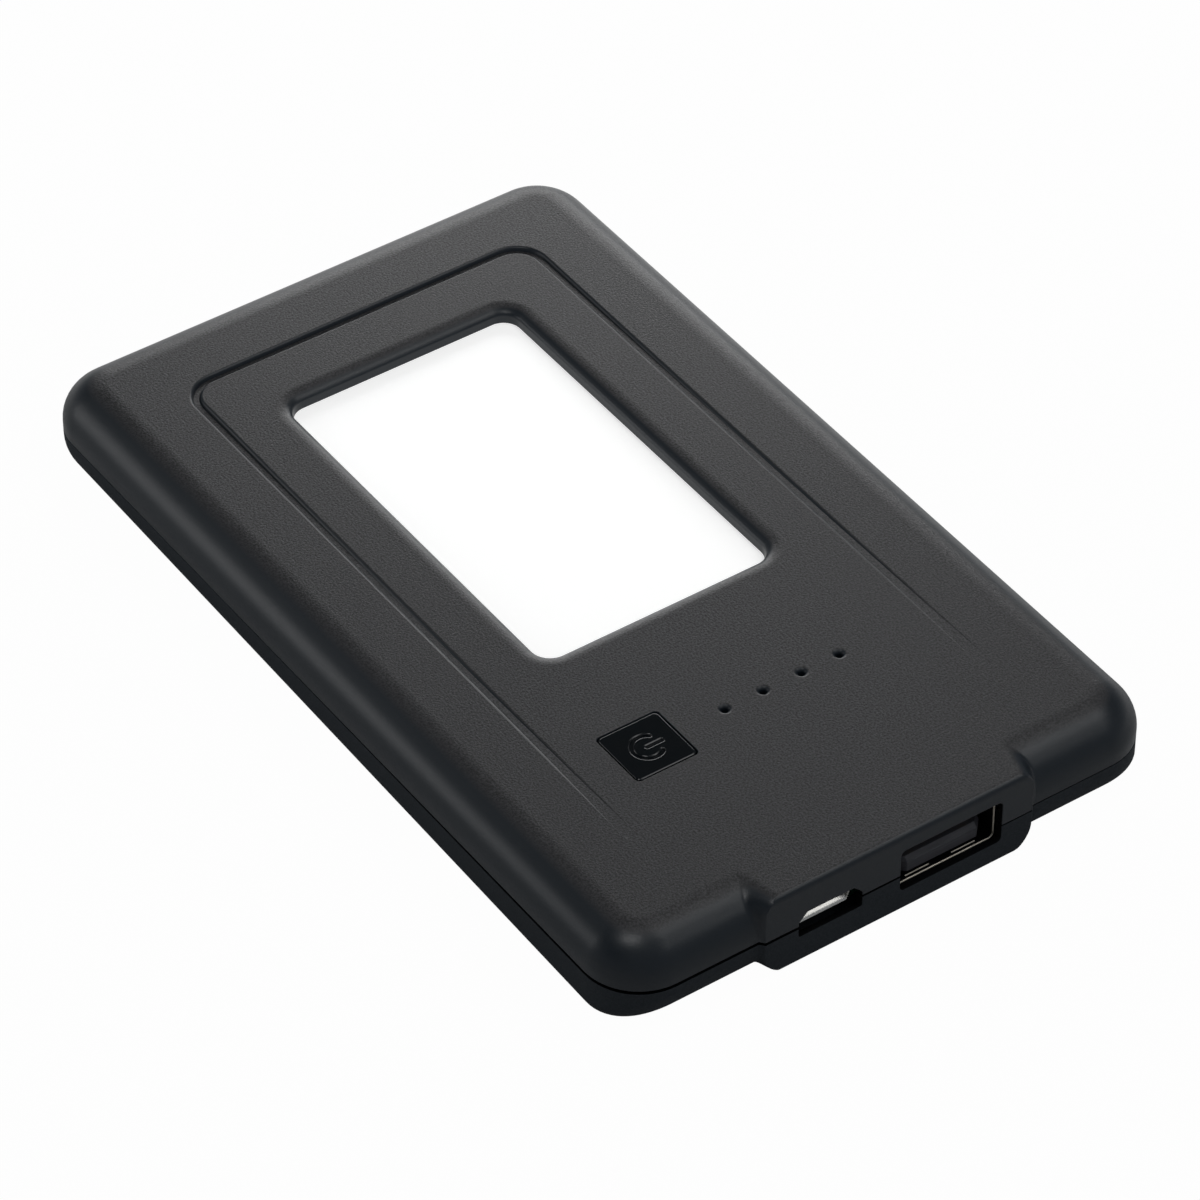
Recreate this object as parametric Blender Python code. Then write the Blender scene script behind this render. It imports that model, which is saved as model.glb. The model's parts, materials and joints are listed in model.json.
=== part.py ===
"""Slim power bank with a lit window: two-shell case, two sockets, button, circuit board and battery cell.

Units are metres, +Z is up. The case lies flat on Z = 0 with its sockets at -Y, and the origin is the
middle of its underside.
"""
import math

import bmesh
import bpy
from mathutils import Matrix, Vector

MM = 0.001

# Case, as seen from above and from the side
LENGTH = 114.9 * MM
WIDTH = 70.0 * MM
THICKNESS = 11.0 * MM
CORNER_RADIUS = 6.8 * MM
TOP_EDGE_RUN = 5.4 * MM
TOP_EDGE_RISE = 4.9 * MM
BOTTOM_END_RADIUS = 4.4 * MM
BOTTOM_SIDE_RADIUS_FRONT = 1.6 * MM
BOTTOM_SIDE_RADIUS_BACK = 4.4 * MM
PARTING_DROP = 0.3 * MM
SIDE_WALL = 1.6 * MM
TOP_WALL = 1.2 * MM
BOTTOM_WALL = 1.2 * MM
INNER_EDGE_RADIUS = 3.4 * MM
LIP_THICKNESS = 0.7 * MM
LIP_RISE = 0.8 * MM
CLEARANCE = 0.3 * MM

# Port block in the middle of the front end
BLOCK_PROUD = 0.5 * MM
BLOCK_WIDTH = 33.9 * MM
BLOCK_FLANK_WIDTH = 1.2 * MM
BLOCK_TOP_CORNER = 1.9 * MM
BLOCK_BOTTOM_CORNER = 3.1 * MM
BLOCK_FRONT_EDGE = 0.7 * MM
BLOCK_FRONT_WALL = 0.8 * MM

# Lit window and the groove around it
WINDOW_WIDTH = 29.9 * MM
WINDOW_FRONT_MARGIN = 43.5 * MM
WINDOW_BACK_MARGIN = 20.5 * MM
WINDOW_CORNER = 2.2 * MM
BEZEL_RUN = 2.0 * MM
WINDOW_LAP = 2.5 * MM
DIFFUSER_THICKNESS = 0.8 * MM
GUIDE_THICKNESS = 0.8 * MM
REFLECTOR_THICKNESS = 0.2 * MM
LIGHT_STRIP_WIDTH = 3.0 * MM
BACKLIGHT_COUNT = 3
BACKLIGHT_PITCH = 10.0 * MM
BACKLIGHT_WIDTH = 3.0 * MM
LIGHT_FRAME_WALL = 1.0 * MM
GROOVE_WIDTH = 47.4 * MM
GROOVE_BAND = 1.4 * MM
GROOVE_DEPTH = 0.5 * MM
GROOVE_BACK_MARGIN = 12.0 * MM
GROOVE_FRONT_MARGIN = 18.2 * MM
GROOVE_CORNER = 4.2 * MM

# Power button and the switch below it
BUTTON_X = -13.9 * MM
CONTROLS_FROM_FRONT = 26.1 * MM
BUTTON_HOLE = 7.9 * MM
BUTTON_CORNER = 0.6 * MM
BUTTON_CHAMFER = 0.25 * MM
BUTTON_FLANGE_LAP = 0.6 * MM
BUTTON_FLANGE_THICKNESS = 0.5 * MM
BUTTON_STEM = 2.4 * MM
BUTTON_STEM_LENGTH = 0.9 * MM
SYMBOL_RADIUS = 1.7 * MM
SYMBOL_STROKE = 0.55 * MM
SYMBOL_DEPTH = 0.15 * MM
SYMBOL_GAP_DEGREES = 95.0
SYMBOL_BAR_LENGTH = 2.3 * MM
SYMBOL_BAR_OFFSET = 0.9 * MM
SWITCH_SIZE = 6.0 * MM
SWITCH_WALL = 0.6 * MM
PLUNGER_RADIUS = 1.4 * MM
PLUNGER_RISE = 0.8 * MM
PLUNGER_FLANGE = 0.5 * MM
DOME_RADIUS = 1.8 * MM
DOME_RISE = 0.4 * MM
DOME_TOP_DEGREES = 75.0

# Row of indicator lights
INDICATOR_COUNT = 4
INDICATOR_PITCH = 5.0 * MM
INDICATOR_FIRST_X = -3.9 * MM
INDICATOR_HOLE_RADIUS = 0.75 * MM
INDICATOR_MOUTH_RADIUS = 1.1 * MM
INDICATOR_MOUTH_DEPTH = 0.4 * MM
INDICATOR_CHIP = (1.6 * MM, 0.8 * MM, 0.6 * MM)
SHIELD_WIDTH = 5.0 * MM
SHIELD_CHANNEL_RADIUS = 1.5 * MM

# USB-A socket
USB_A_X = 6.4 * MM
USB_A_RISE = 0.2 * MM
USB_A_CUTOUT = (13.2 * MM, 5.5 * MM)
USB_A_INSIDE = (12.5 * MM, 5.1 * MM)
USB_A_DEPTH = 13.6 * MM
USB_A_CORNER = 0.6 * MM
USB_A_EAR = (1.4 * MM, 4.0 * MM)
USB_A_SPRING = (3.0 * MM, 5.0 * MM, 0.2 * MM)
USB_A_SPRING_SPACING = 6.0 * MM
USB_A_SPRING_SETBACK = 0.5 * MM
TONGUE_WIDTH = 11.1 * MM
TONGUE_THICKNESS = 1.8 * MM
TONGUE_SETBACK = 0.4 * MM
TONGUE_CHAMFER = 0.5 * MM
TONGUE_FRONT_CORNER = 1.0 * MM
TONGUE_BASE = 2.6 * MM
USB_A_CONTACT_WIDTH = 1.1 * MM
USB_A_CONTACT_THICKNESS = 0.3 * MM
USB_A_CONTACT_X = (-3.5 * MM, -1.0 * MM, 1.0 * MM, 3.5 * MM)
USB_A_CONTACT_SETBACK = (1.0 * MM, 2.0 * MM, 2.0 * MM, 1.0 * MM)
SHEET = 0.3 * MM

# Micro-USB socket
MICRO_X = -9.2 * MM
MICRO_DROP = 0.2 * MM
MICRO_CUTOUT = (8.2 * MM, 2.9 * MM)
MICRO_CHAMFER = 1.1 * MM
MICRO_OUTSIDE = (7.5 * MM, 2.6 * MM)
MICRO_SETBACK = 0.6 * MM
MICRO_DEPTH = 5.2 * MM
MICRO_LIP = (5.8 * MM, 0.5 * MM, 0.25 * MM)
MICRO_TONGUE = (3.7 * MM, 0.6 * MM)
MICRO_TONGUE_SETBACK = 1.2 * MM
MICRO_CONTACT_COUNT = 5
MICRO_CONTACT_PITCH = 0.65 * MM
MICRO_CONTACT_WIDTH = 0.3 * MM
MICRO_CONTACT_THICKNESS = 0.15 * MM
MICRO_GAP = 0.15 * MM

# Circuit board and what is on it
BOARD_FRONT_MARGIN = 2.8 * MM
BOARD_LENGTH = 31.0 * MM
BOARD_SIDE_SPACE = 2.6 * MM
BOARD_CORNER = 5.0 * MM
BOARD_THICKNESS = 1.0 * MM
SCREW_EDGE = (4.0 * MM, 3.6 * MM)
SCREW_RADIUS = 0.8 * MM
SCREW_HEAD = (1.9 * MM, 1.2 * MM)
BOSS_RADIUS = 2.6 * MM
POST_EDGE = (6.0 * MM, 4.5 * MM)
POST_SIZE = 3.0 * MM
CHIP = (5.0 * MM, 4.0 * MM, 1.5 * MM)
CHIP_EDGE = 8.5 * MM
BOOST_FROM_FRONT = 27.5 * MM
INDUCTOR = (6.0 * MM, 6.0 * MM, 3.2 * MM)
INDUCTOR_FROM_FRONT = 20.0 * MM
CAPACITOR_RADIUS = 2.5 * MM
CAPACITOR_HEIGHT = 4.6 * MM
CAPACITOR_COUNT = 2
TRANSISTOR = (3.0 * MM, 1.6 * MM, 1.1 * MM)
TRANSISTOR_FROM_FRONT = 17.0 * MM

# Battery cell
BATTERY_SIDE_SPACE = 4.4 * MM
BATTERY_BACK_SPACE = 1.6 * MM
BATTERY_BOARD_SPACE = 4.6 * MM
BATTERY_CORNER = 2.0 * MM
TAPE_THICKNESS = 0.2 * MM
TAPE_INSET = 6.0 * MM
RIB_WIDTH = 1.0 * MM
RIB_HEIGHT = 3.0 * MM
RIB_INSET = 8.0 * MM
TAB = (4.0 * MM, 3.0 * MM, 0.2 * MM)
TAB_SPACING = 18.0 * MM
LEAD_RADIUS = 0.6 * MM
LEAD_ON_BOARD = 3.0 * MM

# How finely round shapes are divided, and where shading turns sharp
CORNER_STEPS = 6
EDGE_STEPS = 5
FLANK_STEPS = 4
ROUND_STEPS = 20
DOME_STEPS = 3
LEAD_STEPS = 8
LEAD_SIDES_RESOLUTION = 2
SHARP_DEGREES = 35.0

# Heights that follow from the sizes above
PARTING_HEIGHT = THICKNESS / 2 - PARTING_DROP
CEILING = THICKNESS - TOP_WALL
FLOOR = BOTTOM_WALL
FRONT = -LENGTH / 2
BACK = LENGTH / 2
BODY_FRONT = FRONT + BLOCK_PROUD
CAVITY_HALF_WIDTH = WIDTH / 2 - SIDE_WALL
CAVITY_FRONT = BODY_FRONT + SIDE_WALL
CAVITY_BACK = BACK - SIDE_WALL
SOCKET_FRONT = FRONT + BLOCK_FRONT_WALL + CLEARANCE
MICRO_Z = THICKNESS / 2 - MICRO_DROP
USB_A_Z = THICKNESS / 2 + USB_A_RISE
BOARD_TOP = MICRO_Z - MICRO_OUTSIDE[1] / 2 - CLEARANCE
BOARD_BOTTOM = BOARD_TOP - BOARD_THICKNESS
ON_BOARD = BOARD_TOP + CLEARANCE
BOARD_FRONT = FRONT + BOARD_FRONT_MARGIN
BOARD_BACK = BOARD_FRONT + BOARD_LENGTH
BOARD_HALF_WIDTH = CAVITY_HALF_WIDTH - BOARD_SIDE_SPACE
DIFFUSER_TOP = CEILING - CLEARANCE
GUIDE_TOP = DIFFUSER_TOP - DIFFUSER_THICKNESS - CLEARANCE
REFLECTOR_TOP = GUIDE_TOP - GUIDE_THICKNESS - CLEARANCE
BATTERY_TOP = REFLECTOR_TOP - REFLECTOR_THICKNESS - CLEARANCE
TAPE_TOP = FLOOR + CLEARANCE + TAPE_THICKNESS
BATTERY_BOTTOM = TAPE_TOP + CLEARANCE
BATTERY_FRONT = BOARD_BACK + BATTERY_BOARD_SPACE
BATTERY_BACK = CAVITY_BACK - BATTERY_BACK_SPACE
BATTERY_HALF_WIDTH = CAVITY_HALF_WIDTH - BATTERY_SIDE_SPACE
CONTROLS_Y = FRONT + CONTROLS_FROM_FRONT
WINDOW_FRONT = FRONT + WINDOW_FRONT_MARGIN
WINDOW_BACK = BACK - WINDOW_BACK_MARGIN


def start_collections():
    """Empty the scene and make one collection for the parts and one for the cutters."""
    for item in list(bpy.data.objects):
        bpy.data.objects.remove(item, do_unlink=True)
    made = []
    for name in ("power_bank", "power_bank_cutters"):
        group = bpy.data.collections.new(name)
        bpy.context.scene.collection.children.link(group)
        made.append(group)
    return made


PARTS, CUTTERS = start_collections()


def principled(name, colour, roughness, metallic=0.0):
    """Make a Principled material from a linear colour."""
    material = bpy.data.materials.new(name)
    material.use_nodes = True
    shader = material.node_tree.nodes["Principled BSDF"]
    shader.inputs["Base Color"].default_value = (*colour, 1.0)
    shader.inputs["Roughness"].default_value = roughness
    shader.inputs["Metallic"].default_value = metallic
    return material


CASE_BLACK = principled("case_black", (0.030, 0.031, 0.033), 0.55)
GLOSS_BLACK = principled("gloss_black", (0.006, 0.006, 0.007), 0.12)
DIFFUSER_WHITE = principled("diffuser_white", (0.93, 0.93, 0.92), 0.45)
CLEAR_ACRYLIC = principled("clear_acrylic", (0.80, 0.84, 0.86), 0.08)
SHEET_WHITE = principled("sheet_white", (0.88, 0.88, 0.88), 0.60)
SOCKET_STEEL = principled("socket_steel", (0.62, 0.62, 0.61), 0.28, 1.0)
SOCKET_PLASTIC = principled("socket_plastic", (0.045, 0.045, 0.05), 0.45)
CONTACT_GOLD = principled("contact_gold", (0.83, 0.62, 0.30), 0.25, 1.0)
BOARD_GREEN = principled("board_green", (0.02, 0.13, 0.06), 0.40)
CHIP_BLACK = principled("chip_black", (0.02, 0.02, 0.02), 0.50)
FERRITE_GREY = principled("ferrite_grey", (0.10, 0.10, 0.11), 0.60)
CAN_ALUMINIUM = principled("can_aluminium", (0.75, 0.76, 0.77), 0.30, 1.0)
LAMP_WHITE = principled("lamp_white", (0.90, 0.88, 0.75), 0.35)
SCREW_STEEL = principled("screw_steel", (0.45, 0.45, 0.46), 0.35, 1.0)
POUCH_SILVER = principled("pouch_silver", (0.70, 0.71, 0.72), 0.40, 1.0)
TAPE_WHITE = principled("tape_white", (0.80, 0.79, 0.74), 0.70)
NICKEL = principled("nickel", (0.66, 0.63, 0.58), 0.30, 1.0)
LEAD_RED = principled("lead_red", (0.55, 0.03, 0.02), 0.50)
LEAD_BLACK = principled("lead_black", (0.015, 0.015, 0.015), 0.50)
SHIELD_RUBBER = principled("shield_rubber", (0.02, 0.02, 0.02), 0.80)


def place(name, mesh, location=(0, 0, 0), material=None):
    """Put a mesh in the scene as a part, or as a cutter when it has no material."""
    item = bpy.data.objects.new(name, mesh)
    item.location = location
    if material is None:
        item.hide_render = True
        item.display_type = "WIRE"
        CUTTERS.objects.link(item)
    else:
        mesh.materials.append(material)
        PARTS.objects.link(item)
    return item


def finish_mesh(name, bm):
    """Turn a bmesh into a mesh with outward faces, smooth except at sharp edges."""
    bmesh.ops.recalc_face_normals(bm, faces=bm.faces)
    mesh = bpy.data.meshes.new(name)
    bm.to_mesh(mesh)
    bm.free()
    mesh.shade_smooth()
    mesh.set_sharp_from_angle(angle=math.radians(SHARP_DEGREES))
    return mesh


def loft(name, rings, location=(0, 0, 0), material=None, ring_shaped=False):
    """Skin a run of rings with equal counts; a ring-shaped loft closes on its first ring."""
    bm = bmesh.new()
    loops = [[bm.verts.new(point) for point in ring] for ring in rings]
    pairs = list(zip(loops, loops[1:]))
    if ring_shaped:
        pairs.append((loops[-1], loops[0]))
    else:
        bm.faces.new(list(reversed(loops[0])))
        bm.faces.new(loops[-1])
    for lower, upper in pairs:
        count = len(lower)
        for i in range(count):
            j = (i + 1) % count
            bm.faces.new((lower[i], lower[j], upper[j], upper[i]))
    return place(name, finish_mesh(name, bm), location, material)


def box(name, size, centre, material=None):
    """A plain box from its size and centre."""
    bm = bmesh.new()
    bmesh.ops.create_cube(bm, size=1.0, matrix=Matrix.Diagonal((*size, 1.0)))
    return place(name, finish_mesh(name, bm), centre, material)


def cylinder(name, radius, height, base, material=None):
    """An upright cylinder standing on its base point."""
    bm = bmesh.new()
    lift = Matrix.Translation((0, 0, height / 2))
    bmesh.ops.create_cone(bm, cap_ends=True, segments=ROUND_STEPS, radius1=radius, radius2=radius,
                          depth=height, matrix=lift)
    return place(name, finish_mesh(name, bm), base, material)


def combine(target, tool, operation):
    """Add a Boolean modifier to the target."""
    step = target.modifiers.new(tool.name, "BOOLEAN")
    step.operation = operation
    step.solver = "EXACT"
    step.object = tool


def rounded_rectangle(half_x, half_y, radius, steps=CORNER_STEPS):
    """Anticlockwise points of a rounded rectangle about the origin, as (x, y)."""
    radius = min(radius, half_x, half_y)
    points = []
    for quarter, (sx, sy) in enumerate(((1, 1), (-1, 1), (-1, -1), (1, -1))):
        for step in range(steps + 1):
            angle = math.pi / 2 * (quarter + step / steps)
            x = sx * (half_x - radius) + radius * math.cos(angle)
            y = sy * (half_y - radius) + radius * math.sin(angle)
            points.append((x, y))
    return points


def level(points, z):
    """Lift flat points to one height."""
    return [(x, y, z) for x, y in points]


def square_ring(half, corner, z):
    """A level ring with rounded square outline."""
    return level(rounded_rectangle(half, half, corner), z)


def circle_ring(radius, z):
    """A level ring with a round outline."""
    turn = 2 * math.pi / ROUND_STEPS
    return [(radius * math.cos(turn * i), radius * math.sin(turn * i), z) for i in range(ROUND_STEPS)]


def slab(name, half_x, half_y, corner, bottom, top, centre, material=None):
    """A flat plate with a rounded rectangular outline."""
    outline = rounded_rectangle(half_x, half_y, corner)
    return loft(name, [level(outline, bottom), level(outline, top)], (*centre, 0), material)


def front_prism(name, points, front, back, material=None):
    """A prism along Y from an outline drawn as (x, z) points."""
    rings = [[(x, y, z) for x, z in points] for y in (front, back)]
    return loft(name, rings, material=material)


def arc_drop(distance, radius):
    """How far a round edge has fallen back, at a distance inside the point where it starts."""
    reach = min(max(distance, 0.0), radius)
    return radius - math.sqrt(radius * radius - reach * reach)


def block_half_width(z):
    """Half the port block's width at a height, with its upper and lower corners rounded."""
    upper = arc_drop(z - (THICKNESS - BLOCK_TOP_CORNER), BLOCK_TOP_CORNER)
    lower = arc_drop(BLOCK_BOTTOM_CORNER - z, BLOCK_BOTTOM_CORNER)
    return BLOCK_WIDTH / 2 - upper - lower


def block_front(z):
    """Where the port block's front face is at a height, with its long edges rounded."""
    upper = arc_drop(z - (THICKNESS - BLOCK_FRONT_EDGE), BLOCK_FRONT_EDGE)
    lower = arc_drop(BLOCK_FRONT_EDGE - z, BLOCK_FRONT_EDGE)
    return FRONT + upper + lower


def block_points(body_front, z):
    """The port block's outline from left to right, with flanks that blend into the end of the case."""
    half = block_half_width(z)
    nose = block_front(z)
    left = []
    for step in range(FLANK_STEPS + 1):
        share = step / FLANK_STEPS
        blend = share * share * (3 - 2 * share)
        x = -half - BLOCK_FLANK_WIDTH * (1 - share)
        left.append((x, body_front + (nose - body_front) * blend, z))
    right = [(-x, y, height) for x, y, height in reversed(left)]
    return left + right


def case_ring(edge, z_of):
    """One ring round the case: edge gives the fall-back from the outline, z_of the height."""
    half_length = (BACK - BODY_FRONT) / 2
    middle = (BACK + BODY_FRONT) / 2
    outline = rounded_rectangle(WIDTH / 2, half_length, CORNER_RADIUS)
    inner = rounded_rectangle(WIDTH / 2 - CORNER_RADIUS, half_length - CORNER_RADIUS, 0)
    front_left_end = 3 * (CORNER_STEPS + 1)
    ring = []
    for i, ((x, y), (cx, cy)) in enumerate(zip(outline, inner)):
        if i == front_left_end:
            ring += block_points(BODY_FRONT + edge(0.0, BODY_FRONT), z_of(0.0, BODY_FRONT))
        nx = (x - cx) / CORNER_RADIUS
        ny = (y - cy) / CORNER_RADIUS
        inset = edge(nx, y + middle)
        ring.append((x - nx * inset, y + middle - ny * inset, z_of(nx, y + middle)))
    return ring


def bottom_radius(nx, y):
    """Radius of the lower edge: it grows from front to back along the sides."""
    along = (y - BODY_FRONT) / (BACK - BODY_FRONT)
    side = BOTTOM_SIDE_RADIUS_FRONT + (BOTTOM_SIDE_RADIUS_BACK - BOTTOM_SIDE_RADIUS_FRONT) * along
    radius = side * nx * nx + BOTTOM_END_RADIUS * (1 - nx * nx)
    return min(radius, PARTING_HEIGHT - CLEARANCE, CORNER_RADIUS - CLEARANCE)


def lower_case_rings():
    """Rings of the bottom cover's outside, from the flat underside up to the parting line."""
    rings = []
    for step in range(EDGE_STEPS + 1):
        angle = math.pi / 2 * (1 - step / EDGE_STEPS)

        def edge(nx, y, angle=angle):
            return bottom_radius(nx, y) * (1 - math.cos(angle))

        def z_of(nx, y, angle=angle):
            return bottom_radius(nx, y) * (1 - math.sin(angle))

        rings.append(case_ring(edge, z_of))
    parting = PARTING_HEIGHT - CLEARANCE / 2
    rings.append(case_ring(lambda nx, y: 0.0, lambda nx, y: parting))
    return rings


def upper_case_rings():
    """Rings of the top cover's outside, from the parting line up to the flat top."""
    parting = PARTING_HEIGHT + CLEARANCE / 2
    rise = min(TOP_EDGE_RISE, THICKNESS - parting - CLEARANCE)
    run = min(TOP_EDGE_RUN, CORNER_RADIUS - CLEARANCE)
    rings = [case_ring(lambda nx, y: 0.0, lambda nx, y: parting)]
    for step in range(EDGE_STEPS + 1):
        angle = math.pi / 2 * step / EDGE_STEPS
        inset = run * (1 - math.cos(angle))
        z = THICKNESS - rise * (1 - math.sin(angle))
        rings.append(case_ring(lambda nx, y, inset=inset: inset, lambda nx, y, z=z: z))
    return rings


def case_cavity():
    """The hollow inside both covers: a rounded slab."""
    half_length = (CAVITY_BACK - CAVITY_FRONT) / 2
    corner = CORNER_RADIUS - SIDE_WALL
    radius = min(INNER_EDGE_RADIUS, corner - CLEARANCE)
    rings = []
    for sign, base in ((-1, FLOOR), (1, CEILING)):
        for step in range(EDGE_STEPS + 1):
            angle = math.pi / 2 * step / EDGE_STEPS
            angle = angle if sign > 0 else math.pi / 2 - angle
            inset = radius * (1 - math.cos(angle))
            z = base - sign * radius * (1 - math.sin(angle))
            outline = rounded_rectangle(CAVITY_HALF_WIDTH - inset, half_length - inset, corner - inset)
            rings.append(level(outline, z))
    return loft("case_cavity", rings, (0, (CAVITY_FRONT + CAVITY_BACK) / 2, 0))


def socket_bay():
    """The hollow behind the port block's front wall, where the sockets sit."""
    left = MICRO_X - MICRO_OUTSIDE[0] / 2 - 2 * CLEARANCE
    right = USB_A_X + USB_A_INSIDE[0] / 2 + SHEET + 2 * CLEARANCE
    height = USB_A_INSIDE[1] + 2 * SHEET + 4 * CLEARANCE
    front = FRONT + BLOCK_FRONT_WALL
    back = CAVITY_FRONT + INNER_EDGE_RADIUS
    centre = ((left + right) / 2, (front + back) / 2, USB_A_Z)
    return box("socket_bay", (right - left, back - front, height), centre)


def usb_a_cutout():
    """Opening in the front wall for the USB-A socket."""
    half_x, half_z = USB_A_CUTOUT[0] / 2, USB_A_CUTOUT[1] / 2
    points = rounded_rectangle(half_x, half_z, USB_A_CORNER)
    points = [(x + USB_A_X, z + USB_A_Z) for x, z in points]
    return front_prism("usb_a_cutout", points, FRONT - SIDE_WALL, FRONT + 2 * BLOCK_FRONT_WALL)


def socket_outline(width, height, chamfer):
    """Outline of a micro-USB socket about its centre, with its two upper corners cut off."""
    x, z = width / 2, height / 2
    return [(x, -z), (x, z - chamfer), (x - chamfer, z), (chamfer - x, z), (-x, z - chamfer), (-x, -z)]


def micro_cutout():
    """Opening in the front wall for the micro-USB socket."""
    points = [(x + MICRO_X, z + MICRO_Z) for x, z in socket_outline(*MICRO_CUTOUT, MICRO_CHAMFER)]
    return front_prism("micro_cutout", points, FRONT - SIDE_WALL, FRONT + 2 * BLOCK_FRONT_WALL)


def window_cutter():
    """Opening over the lit window, with a lip that rounds outwards to the top face."""
    half_length = (WINDOW_BACK - WINDOW_FRONT) / 2
    below = level(rounded_rectangle(WINDOW_WIDTH / 2, half_length, WINDOW_CORNER), CEILING - CLEARANCE / 2)
    rings = [below]
    for step in range(EDGE_STEPS + 1):
        angle = math.pi / 2 * step / EDGE_STEPS
        grow = BEZEL_RUN * (1 - math.cos(angle))
        z = THICKNESS - (TOP_WALL - CLEARANCE) * (1 - math.sin(angle))
        outline = rounded_rectangle(WINDOW_WIDTH / 2 + grow, half_length + grow, WINDOW_CORNER + grow)
        rings.append(level(outline, z))
    rings.append([(x, y, THICKNESS + TOP_WALL) for x, y, _ in rings[-1]])
    return loft("window_cutter", rings, (0, (WINDOW_FRONT + WINDOW_BACK) / 2, 0))


def groove_cutter():
    """Band round the window, deepest at the back, with a floor that runs out at the front."""
    end = FRONT + GROOVE_FRONT_MARGIN
    back = BACK - GROOVE_BACK_MARGIN
    front = end - GROOVE_BAND * 2
    half_length = (back - front) / 2
    middle = (back + front) / 2
    fall = GROOVE_DEPTH / (back - end)
    rings = []
    for inset in (0.0, GROOVE_BAND):
        outline = rounded_rectangle(GROOVE_WIDTH / 2 - inset, half_length - inset, GROOVE_CORNER - inset)
        floor = [(x, y, THICKNESS - fall * (y + middle - end)) for x, y in outline]
        roof = level(outline, THICKNESS + TOP_WALL)
        rings += [floor, roof] if inset == 0.0 else [roof, floor]
    return loft("groove_cutter", rings, (0, middle, 0), ring_shaped=True)


def indicator_positions():
    """Places of the indicator lights along their row."""
    return [(INDICATOR_FIRST_X + i * INDICATOR_PITCH, CONTROLS_Y) for i in range(INDICATOR_COUNT)]


def indicator_hole(number, x, y):
    """A small round hole with a flared mouth."""
    rings = [circle_ring(INDICATOR_HOLE_RADIUS, CEILING - TOP_WALL / 2)]
    rings.append(circle_ring(INDICATOR_HOLE_RADIUS, THICKNESS - INDICATOR_MOUTH_DEPTH))
    rings.append(circle_ring(INDICATOR_MOUTH_RADIUS, THICKNESS))
    rings.append(circle_ring(INDICATOR_MOUTH_RADIUS, THICKNESS + TOP_WALL))
    return loft(f"indicator_hole_{number}", rings, (x, y, 0))


def light_frame():
    """Rib under the top wall that holds the window's layers and its light strip."""
    half_x = WINDOW_WIDTH / 2 + WINDOW_LAP + CLEARANCE
    front = WINDOW_FRONT - WINDOW_LAP - LIGHT_STRIP_WIDTH - 2 * CLEARANCE
    back = WINDOW_BACK + WINDOW_LAP + CLEARANCE
    half_y = (back - front) / 2
    rings = []
    for grow in (0.0, LIGHT_FRAME_WALL):
        outline = rounded_rectangle(half_x + grow, half_y + grow, LIGHT_FRAME_WALL)
        low = level(outline, REFLECTOR_TOP)
        high = level(outline, CEILING + TOP_WALL / 4)
        rings += [high, low] if grow == 0.0 else [low, high]
    return loft("light_frame", rings, (0, (front + back) / 2, 0), ring_shaped=True)


def parting_lip(name, grow, top):
    """Slab inside the case wall that makes the lip across the parting line, or the rebate for it."""
    half_length = (CAVITY_BACK - CAVITY_FRONT) / 2
    corner = CORNER_RADIUS - SIDE_WALL + grow
    bottom = PARTING_HEIGHT - LIP_RISE
    return slab(name, CAVITY_HALF_WIDTH + grow, half_length + grow, corner, bottom, top,
                (0, (CAVITY_FRONT + CAVITY_BACK) / 2))


def top_cover(cavity, bay, port_cutters):
    """Upper shell of the case with its openings."""
    cover = loft("top_cover", upper_case_rings(), material=CASE_BLACK)
    rebate = parting_lip("lip_rebate", LIP_THICKNESS + CLEARANCE, PARTING_HEIGHT + LIP_RISE + CLEARANCE)
    combine(cover, rebate, "DIFFERENCE")
    combine(cover, cavity, "DIFFERENCE")
    combine(cover, bay, "DIFFERENCE")
    combine(cover, light_frame(), "UNION")
    button_hole = slab("button_hole", BUTTON_HOLE / 2, BUTTON_HOLE / 2, BUTTON_CORNER,
                       CEILING - TOP_WALL / 2, THICKNESS + TOP_WALL, (BUTTON_X, CONTROLS_Y))
    holes = [indicator_hole(i + 1, x, y) for i, (x, y) in enumerate(indicator_positions())]
    for cutter in (*port_cutters, window_cutter(), groove_cutter(), button_hole, *holes):
        combine(cover, cutter, "DIFFERENCE")
    return cover


def screw_positions():
    """Places of the two screws that hold the board's back edge."""
    x = BOARD_HALF_WIDTH - SCREW_EDGE[0]
    return [(-x, BOARD_BACK - SCREW_EDGE[1]), (x, BOARD_BACK - SCREW_EDGE[1])]


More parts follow.
